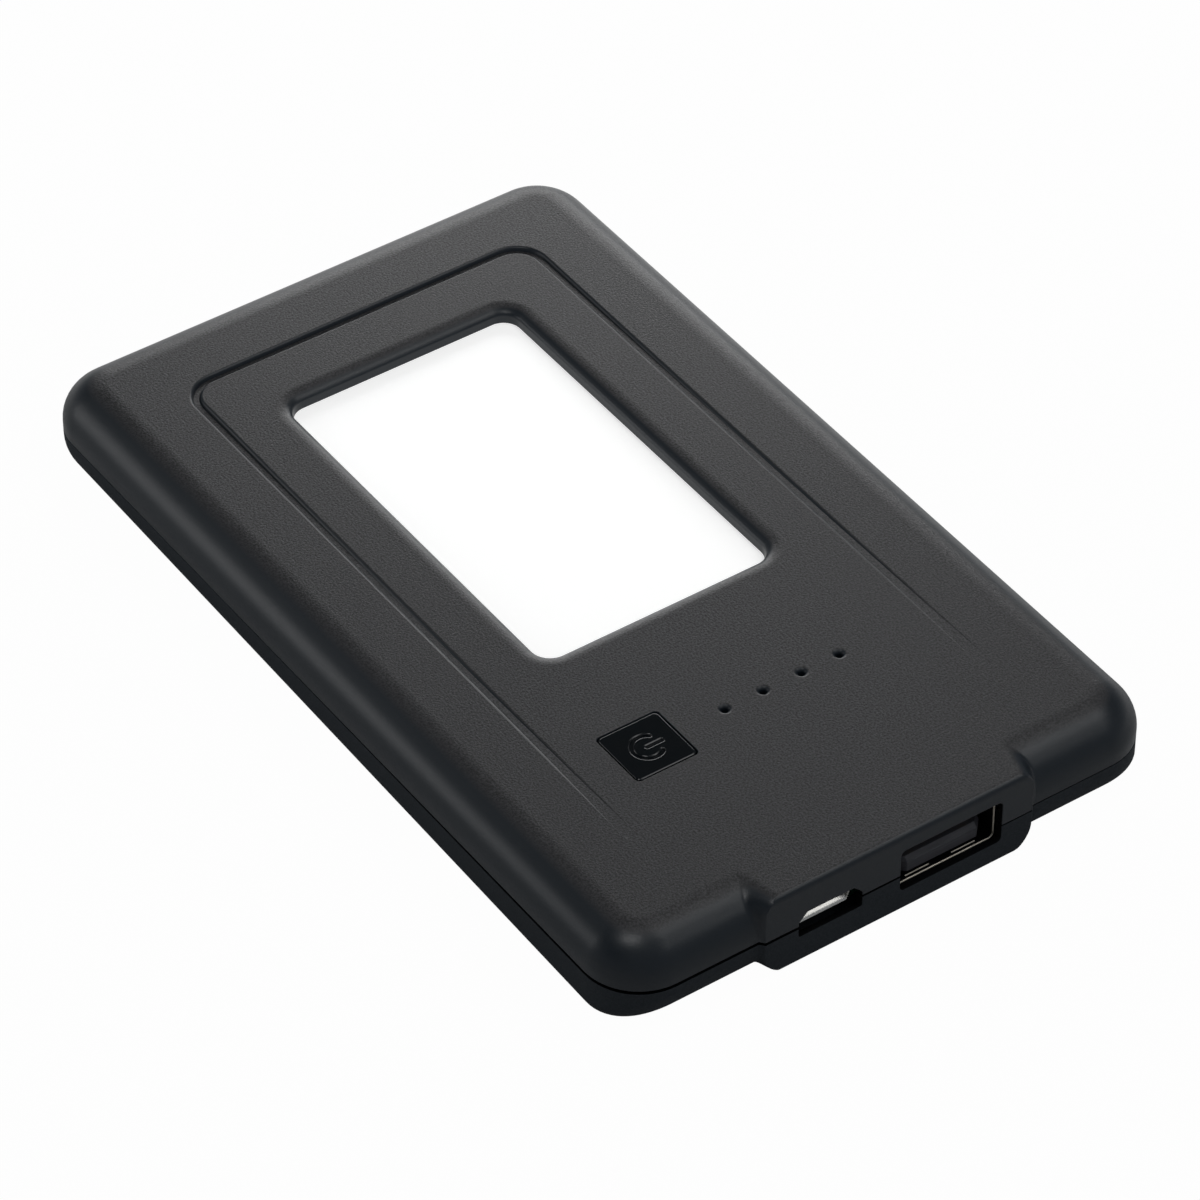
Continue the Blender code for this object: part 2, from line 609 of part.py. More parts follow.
def bottom_cover(cavity, bay, port_cutters):
    """Lower shell of the case with its bosses, posts and battery ribs."""
    cover = loft("bottom_cover", lower_case_rings(), material=CASE_BLACK)
    combine(cover, parting_lip("lip", LIP_THICKNESS, PARTING_HEIGHT + LIP_RISE), "UNION")
    combine(cover, cavity, "DIFFERENCE")
    combine(cover, bay, "DIFFERENCE")
    sunk = FLOOR - BOTTOM_WALL / 2
    seat = BOARD_BOTTOM - CLEARANCE
    for side, (x, y) in zip(("left", "right"), screw_positions()):
        combine(cover, cylinder(f"boss_{side}", BOSS_RADIUS, seat - sunk, (x, y, sunk)), "UNION")
        pilot = cylinder(f"pilot_{side}", SCREW_RADIUS + CLEARANCE, BOARD_TOP - FLOOR, (x, y, FLOOR))
        combine(cover, pilot, "DIFFERENCE")
    for side, sign in (("left", -1), ("right", 1)):
        post_x = sign * (BOARD_HALF_WIDTH - POST_EDGE[0])
        post_size = (POST_SIZE, POST_SIZE, seat - sunk)
        post = box(f"post_{side}", post_size, (post_x, BOARD_FRONT + POST_EDGE[1], (seat + sunk) / 2))
        combine(cover, post, "UNION")
        rib_x = sign * (BATTERY_HALF_WIDTH + CLEARANCE + RIB_WIDTH / 2)
        rib_size = (RIB_WIDTH, BATTERY_BACK - BATTERY_FRONT - 2 * RIB_INSET, RIB_HEIGHT + FLOOR - sunk)
        rib_z = (FLOOR + RIB_HEIGHT + sunk) / 2
        rib = box(f"rib_{side}", rib_size, (rib_x, (BATTERY_FRONT + BATTERY_BACK) / 2, rib_z))
        combine(cover, rib, "UNION")
    for cutter in port_cutters:
        combine(cover, cutter, "DIFFERENCE")
    return cover


def window_layers():
    """Diffuser, light guide, reflector and the strip of lamps at the guide's front edge."""
    half_x = WINDOW_WIDTH / 2 + WINDOW_LAP
    half_y = (WINDOW_BACK - WINDOW_FRONT) / 2 + WINDOW_LAP
    centre = (0, (WINDOW_FRONT + WINDOW_BACK) / 2)
    corner = LIGHT_FRAME_WALL
    slab("light_window", half_x, half_y, corner, DIFFUSER_TOP - DIFFUSER_THICKNESS, DIFFUSER_TOP, centre,
         DIFFUSER_WHITE)
    slab("light_guide", half_x, half_y, corner, GUIDE_TOP - GUIDE_THICKNESS, GUIDE_TOP, centre,
         CLEAR_ACRYLIC)
    slab("reflector_sheet", half_x, half_y, corner, REFLECTOR_TOP - REFLECTOR_THICKNESS, REFLECTOR_TOP,
         centre, SHEET_WHITE)
    strip_y = centre[1] - half_y - CLEARANCE - LIGHT_STRIP_WIDTH / 2
    strip_z = REFLECTOR_TOP - REFLECTOR_THICKNESS / 2
    box("light_strip", (2 * half_x, LIGHT_STRIP_WIDTH, REFLECTOR_THICKNESS), (0, strip_y, strip_z),
        SHEET_WHITE)
    lamp_size = (BACKLIGHT_WIDTH, LIGHT_STRIP_WIDTH - CLEARANCE, GUIDE_THICKNESS)
    for number in range(BACKLIGHT_COUNT):
        x = (number - (BACKLIGHT_COUNT - 1) / 2) * BACKLIGHT_PITCH
        box(f"backlight_lamp_{number + 1}", lamp_size, (x, strip_y, GUIDE_TOP - GUIDE_THICKNESS / 2),
            LAMP_WHITE)


def power_symbol():
    """Cutter for the power sign: an open ring and a bar, with the opening towards +X."""
    gap = math.radians(SYMBOL_GAP_DEGREES)
    rings = []
    for i in range(ROUND_STEPS + 1):
        angle = gap / 2 + (2 * math.pi - gap) * i / ROUND_STEPS
        inner = SYMBOL_RADIUS - SYMBOL_STROKE / 2
        outer = SYMBOL_RADIUS + SYMBOL_STROKE / 2
        corners = ((inner, -SYMBOL_DEPTH), (outer, -SYMBOL_DEPTH),
                   (outer, SYMBOL_DEPTH), (inner, SYMBOL_DEPTH))
        rings.append([(r * math.cos(angle), r * math.sin(angle), z) for r, z in corners])
    top = (BUTTON_X, CONTROLS_Y, THICKNESS)
    bar_size = (SYMBOL_BAR_LENGTH, SYMBOL_STROKE, 2 * SYMBOL_DEPTH)
    bar = box("symbol_bar", bar_size, (BUTTON_X + SYMBOL_BAR_OFFSET, CONTROLS_Y, THICKNESS))
    return loft("symbol_ring", rings, top), bar


def power_button():
    """Square cap with a flange under the top wall and a stem that meets the switch."""
    half = BUTTON_HOLE / 2 - CLEARANCE
    flange = BUTTON_HOLE / 2 + BUTTON_FLANGE_LAP
    flange_top = CEILING - CLEARANCE
    flange_bottom = flange_top - BUTTON_FLANGE_THICKNESS
    rings = [
        square_ring(BUTTON_STEM / 2, BUTTON_CORNER, flange_bottom - BUTTON_STEM_LENGTH),
        square_ring(BUTTON_STEM / 2, BUTTON_CORNER, flange_bottom),
        square_ring(flange, BUTTON_CORNER, flange_bottom),
        square_ring(flange, BUTTON_CORNER, flange_top),
        square_ring(half, BUTTON_CORNER, flange_top),
        square_ring(half, BUTTON_CORNER, THICKNESS - BUTTON_CHAMFER),
        square_ring(half - BUTTON_CHAMFER, BUTTON_CORNER, THICKNESS),
    ]
    cap = loft("power_button", rings, (BUTTON_X, CONTROLS_Y, 0), GLOSS_BLACK)
    for cutter in power_symbol():
        combine(cap, cutter, "DIFFERENCE")
    return flange_bottom - BUTTON_STEM_LENGTH


def tactile_switch(stem_end):
    """Switch on the board under the button: housing, snap dome and plunger."""
    place_at = (BUTTON_X, CONTROLS_Y, 0)
    plunger_top = stem_end - CLEARANCE
    housing_top = plunger_top - PLUNGER_RISE
    half = SWITCH_SIZE / 2
    floor = ON_BOARD + SWITCH_WALL
    roof = housing_top - SWITCH_WALL
    mouth = PLUNGER_RADIUS + CLEARANCE
    room = half - SWITCH_WALL
    profile = ((half, ON_BOARD), (half, housing_top), (mouth, housing_top), (mouth, roof), (room, roof),
               (room, floor))
    loft("switch_housing", [square_ring(r, mouth, z) for r, z in profile], place_at, CHIP_BLACK)
    dome_base = floor + CLEARANCE
    dome = []
    for step in range(DOME_STEPS + 1):
        angle = math.radians(DOME_TOP_DEGREES) * step / DOME_STEPS
        dome.append(circle_ring(DOME_RADIUS * math.cos(angle), dome_base + DOME_RISE * math.sin(angle)))
    loft("switch_dome", dome, place_at, NICKEL)
    flange_top = roof - CLEARANCE
    plunger = [circle_ring(r, z) for r, z in (
        (PLUNGER_RADIUS + 2 * CLEARANCE, flange_top - PLUNGER_FLANGE),
        (PLUNGER_RADIUS + 2 * CLEARANCE, flange_top),
        (PLUNGER_RADIUS, flange_top),
        (PLUNGER_RADIUS, plunger_top))]
    loft("switch_plunger", plunger, place_at, SOCKET_PLASTIC)


def indicator_lights():
    """Four lamps on the board and the rubber shield that leads their light to the holes."""
    places = indicator_positions()
    for number, (x, y) in enumerate(places):
        box(f"indicator_lamp_{number + 1}", INDICATOR_CHIP, (x, y, ON_BOARD + INDICATOR_CHIP[2] / 2),
            LAMP_WHITE)
    length = (INDICATOR_COUNT - 1) * INDICATOR_PITCH + SHIELD_WIDTH
    bottom = ON_BOARD
    top = CEILING - CLEARANCE
    middle_x = INDICATOR_FIRST_X + (INDICATOR_COUNT - 1) * INDICATOR_PITCH / 2
    shield = box("indicator_shield", (length, SHIELD_WIDTH, top - bottom),
                 (middle_x, CONTROLS_Y, (bottom + top) / 2), SHIELD_RUBBER)
    for number, (x, y) in enumerate(places):
        channel = cylinder(f"shield_channel_{number + 1}", SHIELD_CHANNEL_RADIUS, THICKNESS, (x, y, 0))
        combine(shield, channel, "DIFFERENCE")


def usb_a_socket():
    """Folded steel shell with springs in its floor, low plastic tongue and four contacts on top of it."""
    inside_x, inside_z = USB_A_INSIDE
    back = SOCKET_FRONT + USB_A_DEPTH
    outer = rounded_rectangle(inside_x / 2 + SHEET, inside_z / 2 + SHEET, USB_A_CORNER)
    shell = front_prism("usb_a_shell", [(x + USB_A_X, z + USB_A_Z) for x, z in outer], SOCKET_FRONT, back,
                        SOCKET_STEEL)
    ear_size = (inside_x + 2 * SHEET + 2 * USB_A_EAR[0], USB_A_EAR[1], SHEET)
    ears = box("usb_a_ears", ear_size, (USB_A_X, back - USB_A_EAR[1], ON_BOARD + SHEET / 2))
    combine(shell, ears, "UNION")
    inner = rounded_rectangle(inside_x / 2, inside_z / 2, USB_A_CORNER - SHEET)
    hollow = front_prism("usb_a_hollow", [(x + USB_A_X, z + USB_A_Z) for x, z in inner],
                         SOCKET_FRONT - SHEET, back - SHEET)
    combine(shell, hollow, "DIFFERENCE")
    floor = USB_A_Z - inside_z / 2
    start = SOCKET_FRONT + USB_A_SPRING_SETBACK
    for side, sign in (("left", -1), ("right", 1)):
        x = USB_A_X + sign * USB_A_SPRING_SPACING / 2
        wide, long, rise = USB_A_SPRING
        ramp = ((start, -SHEET / 2), (start + long, -SHEET / 2),
                (start + long / 2, rise), (start + SHEET, rise))
        rings = [[(x + side_x, y, floor + z) for y, z in ramp] for side_x in (-wide / 2, wide / 2)]
        combine(shell, loft(f"usb_a_spring_{side}", rings), "UNION")

    tongue_bottom = floor + USB_A_SPRING[2] + CLEARANCE
    tongue_top = tongue_bottom + TONGUE_THICKNESS
    tongue_front = SOCKET_FRONT + TONGUE_SETBACK
    base_front = back - SHEET - CLEARANCE - TONGUE_BASE
    base_back = back - SHEET - CLEARANCE
    base_bottom = USB_A_Z - inside_z / 2 + CLEARANCE
    base_top = USB_A_Z + inside_z / 2 - CLEARANCE
    half = TONGUE_WIDTH / 2
    inner_half = half - TONGUE_FRONT_CORNER
    rings = []
    for x in (-half, -inner_half, inner_half, half):
        near = tongue_front + abs(x) - inner_half
        profile = ((near, tongue_bottom), (near, tongue_top - TONGUE_CHAMFER),
                   (near + TONGUE_CHAMFER, tongue_top), (base_front, tongue_top), (base_front, base_top),
                   (base_back, base_top), (base_back, base_bottom), (base_front, base_bottom),
                   (base_front, tongue_bottom))
        rings.append([(USB_A_X + x, y, z) for y, z in profile])
    loft("usb_a_tongue", rings, material=SOCKET_PLASTIC)
    for number, (x, setback) in enumerate(zip(USB_A_CONTACT_X, USB_A_CONTACT_SETBACK)):
        near = tongue_front + setback
        far = base_front - CLEARANCE
        size = (USB_A_CONTACT_WIDTH, far - near, USB_A_CONTACT_THICKNESS)
        middle_z = tongue_top + CLEARANCE + USB_A_CONTACT_THICKNESS / 2
        box(f"usb_a_contact_{number + 1}", size, (USB_A_X + x, (near + far) / 2, middle_z), CONTACT_GOLD)


def micro_usb_socket():
    """Folded steel shell with a flared lower lip, plastic tongue and a row of contacts."""
    front = SOCKET_FRONT + MICRO_SETBACK
    back = front + MICRO_DEPTH
    width, height = MICRO_OUTSIDE
    outer = socket_outline(width, height, MICRO_CHAMFER)
    shell = front_prism("micro_usb_shell", [(x + MICRO_X, z + MICRO_Z) for x, z in outer], front, back,
                        SOCKET_STEEL)
    inner = socket_outline(width - 2 * SHEET, height - 2 * SHEET, MICRO_CHAMFER)
    hollow = front_prism("micro_usb_hollow", [(x + MICRO_X, z + MICRO_Z) for x, z in inner], front - SHEET,
                         back - SHEET)
    combine(shell, hollow, "DIFFERENCE")
    lip_width, lip_run, lip_drop = MICRO_LIP
    lip_root, lip_end = front + SHEET / 2, front - lip_run
    low = MICRO_Z - height / 2
    thin = (low + SHEET / 4, low + 3 * SHEET / 4)
    lip = ((lip_root, thin[0]), (lip_root, thin[1]),
           (lip_end, thin[1] - lip_drop), (lip_end, thin[0] - lip_drop))
    rings = [[(MICRO_X + x, y, z) for y, z in lip] for x in (-lip_width / 2, lip_width / 2)]
    combine(shell, loft("micro_usb_lip", rings), "UNION")
    tongue_width, tongue_height = MICRO_TONGUE
    near = front + MICRO_TONGUE_SETBACK
    far = back - SHEET - MICRO_GAP
    tongue_z = MICRO_Z + MICRO_GAP + tongue_height / 2
    box("micro_usb_tongue", (tongue_width, far - near, tongue_height), (MICRO_X, (near + far) / 2, tongue_z),
        SOCKET_PLASTIC)
    contact_z = MICRO_Z - MICRO_CONTACT_THICKNESS / 2
    for number in range(MICRO_CONTACT_COUNT):
        x = MICRO_X + (number - (MICRO_CONTACT_COUNT - 1) / 2) * MICRO_CONTACT_PITCH
        box(f"micro_usb_contact_{number + 1}", (MICRO_CONTACT_WIDTH, far - near, MICRO_CONTACT_THICKNESS),
            (x, (near + far) / 2, contact_z), CONTACT_GOLD)


def circuit_board():
    """Board with a notch for the sunk USB-A socket and holes for its two screws."""
    middle = (0, (BOARD_FRONT + BOARD_BACK) / 2)
    board = slab("main_board", BOARD_HALF_WIDTH, BOARD_LENGTH / 2, BOARD_CORNER, BOARD_BOTTOM, BOARD_TOP,
                 middle, BOARD_GREEN)
    notch_back = SOCKET_FRONT + USB_A_DEPTH + CLEARANCE
    notch_width = USB_A_INSIDE[0] + 2 * SHEET + 2 * CLEARANCE
    notch = box("board_notch", (notch_width, notch_back - FRONT, 2 * BOARD_THICKNESS),
                (USB_A_X, (notch_back + FRONT) / 2, BOARD_TOP - BOARD_THICKNESS / 2))
    combine(board, notch, "DIFFERENCE")
    for side, (x, y) in zip(("left", "right"), screw_positions()):
        hole = cylinder(f"board_hole_{side}", SCREW_RADIUS + CLEARANCE, 2 * BOARD_THICKNESS,
                        (x, y, BOARD_BOTTOM - BOARD_THICKNESS / 2))
        combine(board, hole, "DIFFERENCE")
        radius, height = SCREW_HEAD
        tip = FLOOR + CLEARANCE
        screw = [circle_ring(SCREW_RADIUS, tip), circle_ring(SCREW_RADIUS, ON_BOARD),
                 circle_ring(radius, ON_BOARD), circle_ring(radius, ON_BOARD + height)]
        loft(f"board_screw_{side}", screw, (x, y, 0), SCREW_STEEL)


def board_components():
    """Chips, coil, transistor, and the row of capacitors that ends at the switch, on the board."""
    edge = BOARD_HALF_WIDTH - CHIP_EDGE
    row_end = CONTROLS_Y - SWITCH_SIZE / 2 - CLEARANCE
    for number in range(CAPACITOR_COUNT):
        place_at = (-edge, row_end - CAPACITOR_RADIUS, ON_BOARD)
        cylinder(f"capacitor_{number + 1}", CAPACITOR_RADIUS, CAPACITOR_HEIGHT, place_at, CAN_ALUMINIUM)
        row_end -= 2 * CAPACITOR_RADIUS + CLEARANCE
    boxes = (
        ("charger_chip", CHIP, -edge, row_end - CHIP[1] / 2, CHIP_BLACK),
        ("boost_chip", CHIP, edge, FRONT + BOOST_FROM_FRONT, CHIP_BLACK),
        ("boost_coil", INDUCTOR, edge, FRONT + INDUCTOR_FROM_FRONT, FERRITE_GREY),
        ("load_transistor", TRANSISTOR, MICRO_X, FRONT + TRANSISTOR_FROM_FRONT, CHIP_BLACK),
    )
    for name, size, x, y, material in boxes:
        box(name, size, (x, y, ON_BOARD + size[2] / 2), material)


def wire(name, points, radius, material):
    """A round lead along a list of points."""
    curve = bpy.data.curves.new(name, "CURVE")
    curve.dimensions = "3D"
    curve.bevel_depth = radius
    curve.bevel_resolution = LEAD_SIDES_RESOLUTION
    curve.use_fill_caps = True
    spline = curve.splines.new("POLY")
    spline.points.add(len(points) - 1)
    for slot, point in zip(spline.points, points):
        slot.co = (*point, 1.0)
    curve.materials.append(material)
    PARTS.objects.link(bpy.data.objects.new(name, curve))


def smooth_route(start, end):
    """Points that leave one level run and ease onto another."""
    first, last = Vector(start), Vector(end)
    points = []
    for i in range(LEAD_STEPS + 1):
        share = i / LEAD_STEPS
        blend = share * share * (3 - 2 * share)
        point = first.lerp(last, share)
        point.z = first.z + (last.z - first.z) * blend
        points.append(point)
    return points


def battery():
    """Pouch cell on its adhesive tape, with two tabs and the leads to the board."""
    half_y = (BATTERY_BACK - BATTERY_FRONT) / 2
    centre = (0, (BATTERY_FRONT + BATTERY_BACK) / 2)
    slab("battery_cell", BATTERY_HALF_WIDTH, half_y, BATTERY_CORNER, BATTERY_BOTTOM, BATTERY_TOP, centre,
         POUCH_SILVER)
    slab("battery_tape", BATTERY_HALF_WIDTH - TAPE_INSET, half_y - TAPE_INSET, BATTERY_CORNER,
         FLOOR + CLEARANCE, TAPE_TOP, centre, TAPE_WHITE)
    tab_z = (BATTERY_BOTTOM + BATTERY_TOP) / 2
    lead_z = tab_z + TAB[2] / 2 + CLEARANCE + LEAD_RADIUS
    tab_y = BATTERY_FRONT - CLEARANCE - TAB[1] / 2
    end_y = BOARD_BACK - LEAD_ON_BOARD
    for name, sign, material in (("positive", 1, LEAD_RED), ("negative", -1, LEAD_BLACK)):
        x = sign * TAB_SPACING / 2
        box(f"battery_tab_{name}", TAB, (x, tab_y, tab_z), NICKEL)
        route = smooth_route((x, tab_y, lead_z), (x, end_y, ON_BOARD + LEAD_RADIUS))
        wire(f"battery_lead_{name}", route, LEAD_RADIUS, material)


def main():
    """Build the power bank."""
    cavity = case_cavity()
    bay = socket_bay()
    ports = (usb_a_cutout(), micro_cutout())
    top_cover(cavity, bay, ports)
    bottom_cover(cavity, bay, ports)
    window_layers()
    tactile_switch(power_button())
    indicator_lights()
    usb_a_socket()
    micro_usb_socket()
    circuit_board()
    board_components()
    battery()


main()
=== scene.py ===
"""Looks of a slim black power bank with a lit window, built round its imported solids.

Lengths are metres. The case lies flat on Z = 0, with its sockets towards -Y and its button on the left.
"""

import json
import logging
import math
from collections.abc import Callable, Iterable, Sequence
from dataclasses import dataclass
from enum import Enum, IntEnum

import bmesh
import bpy
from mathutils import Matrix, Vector


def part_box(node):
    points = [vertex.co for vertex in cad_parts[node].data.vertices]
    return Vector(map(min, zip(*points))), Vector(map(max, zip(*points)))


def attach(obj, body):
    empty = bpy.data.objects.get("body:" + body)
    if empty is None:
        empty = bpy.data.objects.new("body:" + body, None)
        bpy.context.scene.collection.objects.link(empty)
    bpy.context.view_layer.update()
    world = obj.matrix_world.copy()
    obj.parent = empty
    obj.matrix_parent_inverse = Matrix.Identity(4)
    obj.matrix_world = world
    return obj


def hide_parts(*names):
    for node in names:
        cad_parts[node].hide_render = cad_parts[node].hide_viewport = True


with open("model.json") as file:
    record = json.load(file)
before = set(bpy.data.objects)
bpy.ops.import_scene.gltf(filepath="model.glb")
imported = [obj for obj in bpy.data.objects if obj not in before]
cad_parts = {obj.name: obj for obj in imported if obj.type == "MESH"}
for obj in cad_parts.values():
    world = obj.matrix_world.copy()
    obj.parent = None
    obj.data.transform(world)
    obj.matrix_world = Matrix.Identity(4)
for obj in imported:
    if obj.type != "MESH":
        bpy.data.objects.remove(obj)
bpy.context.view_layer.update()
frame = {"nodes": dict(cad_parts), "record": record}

LOG = logging.getLogger("power_bank")
MM = 0.001

# How finely curves are divided
CORNER_STEPS = 16
EDGE_STEPS = 16
FLANK_STEPS = 12
RIM_STEPS = 5
SIDE_STEPS = 8
SMALL_STEPS = 8
PANE_STEPS = 6
RIB_STEPS = 4
ROUND_STEPS = 96
CAP_STEPS = 16

# Edges that turn by more than this are shaded as sharp
SHARP_DEGREES = 32.0
# Points that are closer than these are one, in a cut mesh and in an outline
WELD = 1e-7
SAME_POINT = 1e-9
# Band of a noise's values that a finish spreads over its whole range, and how rough the noise is
NOISE_BAND = (0.3, 0.7)
NOISE_ROUGHNESS = 0.6
# End faces that a skin makes before its bands, and the slot of a shell's faces with painted shade, in the
# seam and the ports
END_FACES = 2
PAINTED_SHADE_SLOT = 1
# Corners of a rounded rectangle, counted anticlockwise from the back right one
CORNERS = 4
FRONT_LEFT = 2
WHITE = "#ffffff"

# Distance or height by facing, X and Y
Edge = Callable[[float, float, float], float]
# Points of a flat outline with their outward directions
Trace = list[tuple[Vector, Vector]]


def linear(code: str) -> tuple[float, float, float, float]:
    """Turn an sRGB hex colour into linear RGBA.

    Args:
        code: Colour as "#rrggbb".

    Returns:
        Linear red, green, blue and full alpha.
    """
    parts = [int(code[i:i + 2], 16) / 255 for i in (1, 3, 5)]
    red, green, blue = (p / 12.92 if p <= 0.04045 else ((p + 0.055) / 1.055) ** 2.4 for p in parts)
    return red, green, blue, 1.0


def add_node(tree: bpy.types.NodeTree, kind: str, inputs: dict | None = None,
             **settings: object) -> bpy.types.Node:
    """Add a node with its settings, values and links.

    Args:
        tree: Node tree to add to.
        kind: Blender's name for the node.
        inputs: Values or output sockets by input name or number.
        **settings: Properties of the node itself.

    Returns:
        The new node.
    """
    node = tree.nodes.new(kind)
    for name, value in settings.items():
        setattr(node, name, value)
    for name, value in (inputs or {}).items():
        if isinstance(value, bpy.types.NodeSocket):
            tree.links.new(value, node.inputs[name])
        else:
            node.inputs[name].default_value = value
    return node


class Run(Enum):
    """Which way a surface's pattern is drawn out, as scales along X, Y and Z."""

    EVEN = (1.0, 1.0, 1.0)
    ALONG_X = (0.05, 1.0, 1.0)
    ALONG_Y = (1.0, 0.05, 1.0)
    ALONG_Z = (1.0, 1.0, 0.05)


@dataclass(frozen=True)
class Finish:
    """A material and its surface: two close colours, a roughness that varies, and a fine relief."""

    name: str
    colour: str
    shade: str
    roughness: float
    spread: float
    grain_mm: float
    height_mm: float
    run: Run = Run.EVEN
    metallic: float = 0.0
    sockets: tuple[tuple[str, object], ...] = ()

    def material(self) -> bpy.types.Material:
        """Make the finish's material on first use.

        Returns:
            The material.
        """
        made = bpy.data.materials.get(self.name)
        if made is None:
            made = bpy.data.materials.new(self.name)
            made.use_nodes = True
            shader = made.node_tree.nodes["Principled BSDF"]
            self.lay_out(made.node_tree, shader)
            for name, value in (("Metallic", self.metallic), *self.sockets):
                shader.inputs[name].default_value = value
        return made

    def pattern(self, tree: bpy.types.NodeTree, grain_mm: float, detail: float = 3.0) -> bpy.types.NodeSocket:
        """Add a noise of a real grain size in the piece's own space.

        Args:
            tree: Node tree to add to.
            grain_mm: Width of one grain in millimetres.
            detail: Finer layers of noise over the first.

        Returns:
            The noise's value socket.
        """
        place = add_node(tree, "ShaderNodeTexCoord")
        stretch = add_node(tree, "ShaderNodeMapping",
                           {"Vector": place.outputs["Object"], "Scale": self.run.value})
        noise = add_node(tree, "ShaderNodeTexNoise",
                         {"Vector": stretch.outputs["Vector"], "Scale": 1 / (grain_mm * MM),
                          "Detail": detail, "Roughness": NOISE_ROUGHNESS})
        return noise.outputs["Fac"]

    def lay_out(self, tree: bpy.types.NodeTree, shader: bpy.types.Node) -> None:
        """Connect colour, roughness and relief to the shader.

        Args:
            tree: The material's node tree.
            shader: Its Principled shader.
        """
        low, high = NOISE_BAND
        grain = self.pattern(tree, self.grain_mm)
        share = add_node(tree, "ShaderNodeMapRange", {"Value": grain, "From Min": low, "From Max": high})
        tree.links.new(self.blend(tree, share.outputs["Result"], self.shade), shader.inputs["Base Color"])
        rough = add_node(tree, "ShaderNodeMapRange",
                         {"Value": grain, "From Min": low, "From Max": high,
                          "To Min": self.roughness + self.spread, "To Max": self.roughness - self.spread})
        tree.links.new(rough.outputs["Result"], shader.inputs["Roughness"])
        self.relief(tree, shader, grain, self.height_mm * MM)

    def blend(self, tree: bpy.types.NodeTree, share: bpy.types.NodeSocket,
              shade: str) -> bpy.types.NodeSocket:
        """Mix the finish's main colour with a darker one.

        Args:
            tree: The material's node tree.
            share: How much of the main colour shows.
            shade: The darker colour.

        Returns:
            The mixed colour's socket.
        """
        ramp = add_node(tree, "ShaderNodeValToRGB", {"Fac": share})
        for element, code in zip(ramp.color_ramp.elements, (shade, self.colour)):
            element.color = linear(code)
        return ramp.outputs["Color"]

    @staticmethod
    def relief(tree: bpy.types.NodeTree, shader: bpy.types.Node, grain: bpy.types.NodeSocket,
               depth: float | bpy.types.NodeSocket) -> None:
        """Add the fine relief.

        Args:
            tree: The material's node tree.
            shader: Its Principled shader.
            grain: Pattern that the relief follows.
            depth: Height of the relief, or the socket that gives it.
        """
        bump = add_node(tree, "ShaderNodeBump", {"Height": grain, "Distance": depth})
        tree.links.new(bump.outputs["Normal"], shader.inputs["Normal"])


@dataclass(frozen=True, kw_only=True)
class TexturedFinish(Finish):
    """A moulded surface whose spark-eroded grain is coarse on top and fine on its walls; the walls' darker
    colour is painted shade.
    """

    # Darker colour of the walls: painted shade on the surfaces that face sideways
    painted_shade_wall_colour: str
    wall_height_mm: float
    wall_roughness: float
    grain_detail: float = 2.0
    speck_band: tuple[float, float] = (0.35, 0.65)
    top_facing: tuple[float, float] = (0.89, 0.999)

    def lay_out(self, tree: bpy.types.NodeTree, shader: bpy.types.Node) -> None:
        """Connect colour, roughness and relief, by how far the surface faces up; the darker wall colour is
        painted shade.

        Args:
            tree: The material's node tree.
            shader: Its Principled shader.
        """
        place = add_node(tree, "ShaderNodeTexCoord")
        facing = add_node(tree, "ShaderNodeSeparateXYZ", {"Vector": place.outputs["Normal"]})
        least, full = self.top_facing
        # Painted shade: the less a surface faces up, the more it takes the darker wall colour
        top = add_node(tree, "ShaderNodeMapRange",
                       {"Value": facing.outputs["Z"], "From Min": least, "From Max": full},
                       interpolation_type="SMOOTHSTEP").outputs["Result"]
        grain = self.pattern(tree, self.grain_mm, self.grain_detail)
        low, high = self.speck_band
        speck = add_node(tree, "ShaderNodeMapRange", {"Value": grain, "From Min": low, "From Max": high})
        # Inputs 6 and 7 of this node are its two colours, and output 2 is their mix
        tint = add_node(tree, "ShaderNodeMix",
                        {"Factor": top, 6: self.blend(tree, top, self.painted_shade_wall_colour),
                         7: self.blend(tree, speck.outputs["Result"], self.shade)}, data_type="RGBA")
        tree.links.new(tint.outputs[2], shader.inputs["Base Color"])
        even = add_node(tree, "ShaderNodeMapRange",
                        {"Value": top, "To Min": self.wall_roughness + self.spread,
                         "To Max": self.roughness + self.spread})
        rough = add_node(tree, "ShaderNodeMath",
                         {0: grain, 1: -2 * self.spread, 2: even.outputs["Result"]}, operation="MULTIPLY_ADD")
        tree.links.new(rough.outputs[0], shader.inputs["Roughness"])
        depth = add_node(tree, "ShaderNodeMapRange",
                         {"Value": top, "To Min": self.wall_height_mm * MM, "To Max": self.height_mm * MM})
        self.relief(tree, shader, grain, depth.outputs["Result"])


# Black ABS from a spark-eroded mould: a sandy grain that scatters the light on the flat top, and smoother,
# glossier drafted walls. The walls' darker, bluish colour is painted shade. The real grain is about 0.1 mm,
# and it is drawn coarser to show
TEXTURED_ABS = TexturedFinish("textured_black_abs_with_painted_wall_shade", "#343436", "#121213", 0.45, 0.10, 0.25, 0.04,
                              sockets=(("IOR", 1.53), ("Specular IOR Level", 0.34)),
                              painted_shade_wall_colour="#141b21", wall_height_mm=0.008, wall_roughness=0.365)
# Black ABS of the lower shell, with a finer grain and a slightly bluish black
FINE_ABS = Finish("fine_black_abs", "#2e3236", "#25292c", 0.60, 0.05, 0.20, 0.003,
                  sockets=(("IOR", 1.53), ("Specular IOR Level", 0.06)))
# Black ABS inside the ports and the seam, nearly black and barely glossy: painted shade that stands in for
# the shadow there
PAINTED_SHADE_ABS = Finish("painted_shade_black_abs", "#0a0b0c", "#060708", 0.45, 0.05, 0.20, 0.001,
                  sockets=(("IOR", 1.53), ("Specular IOR Level", 0.05)))
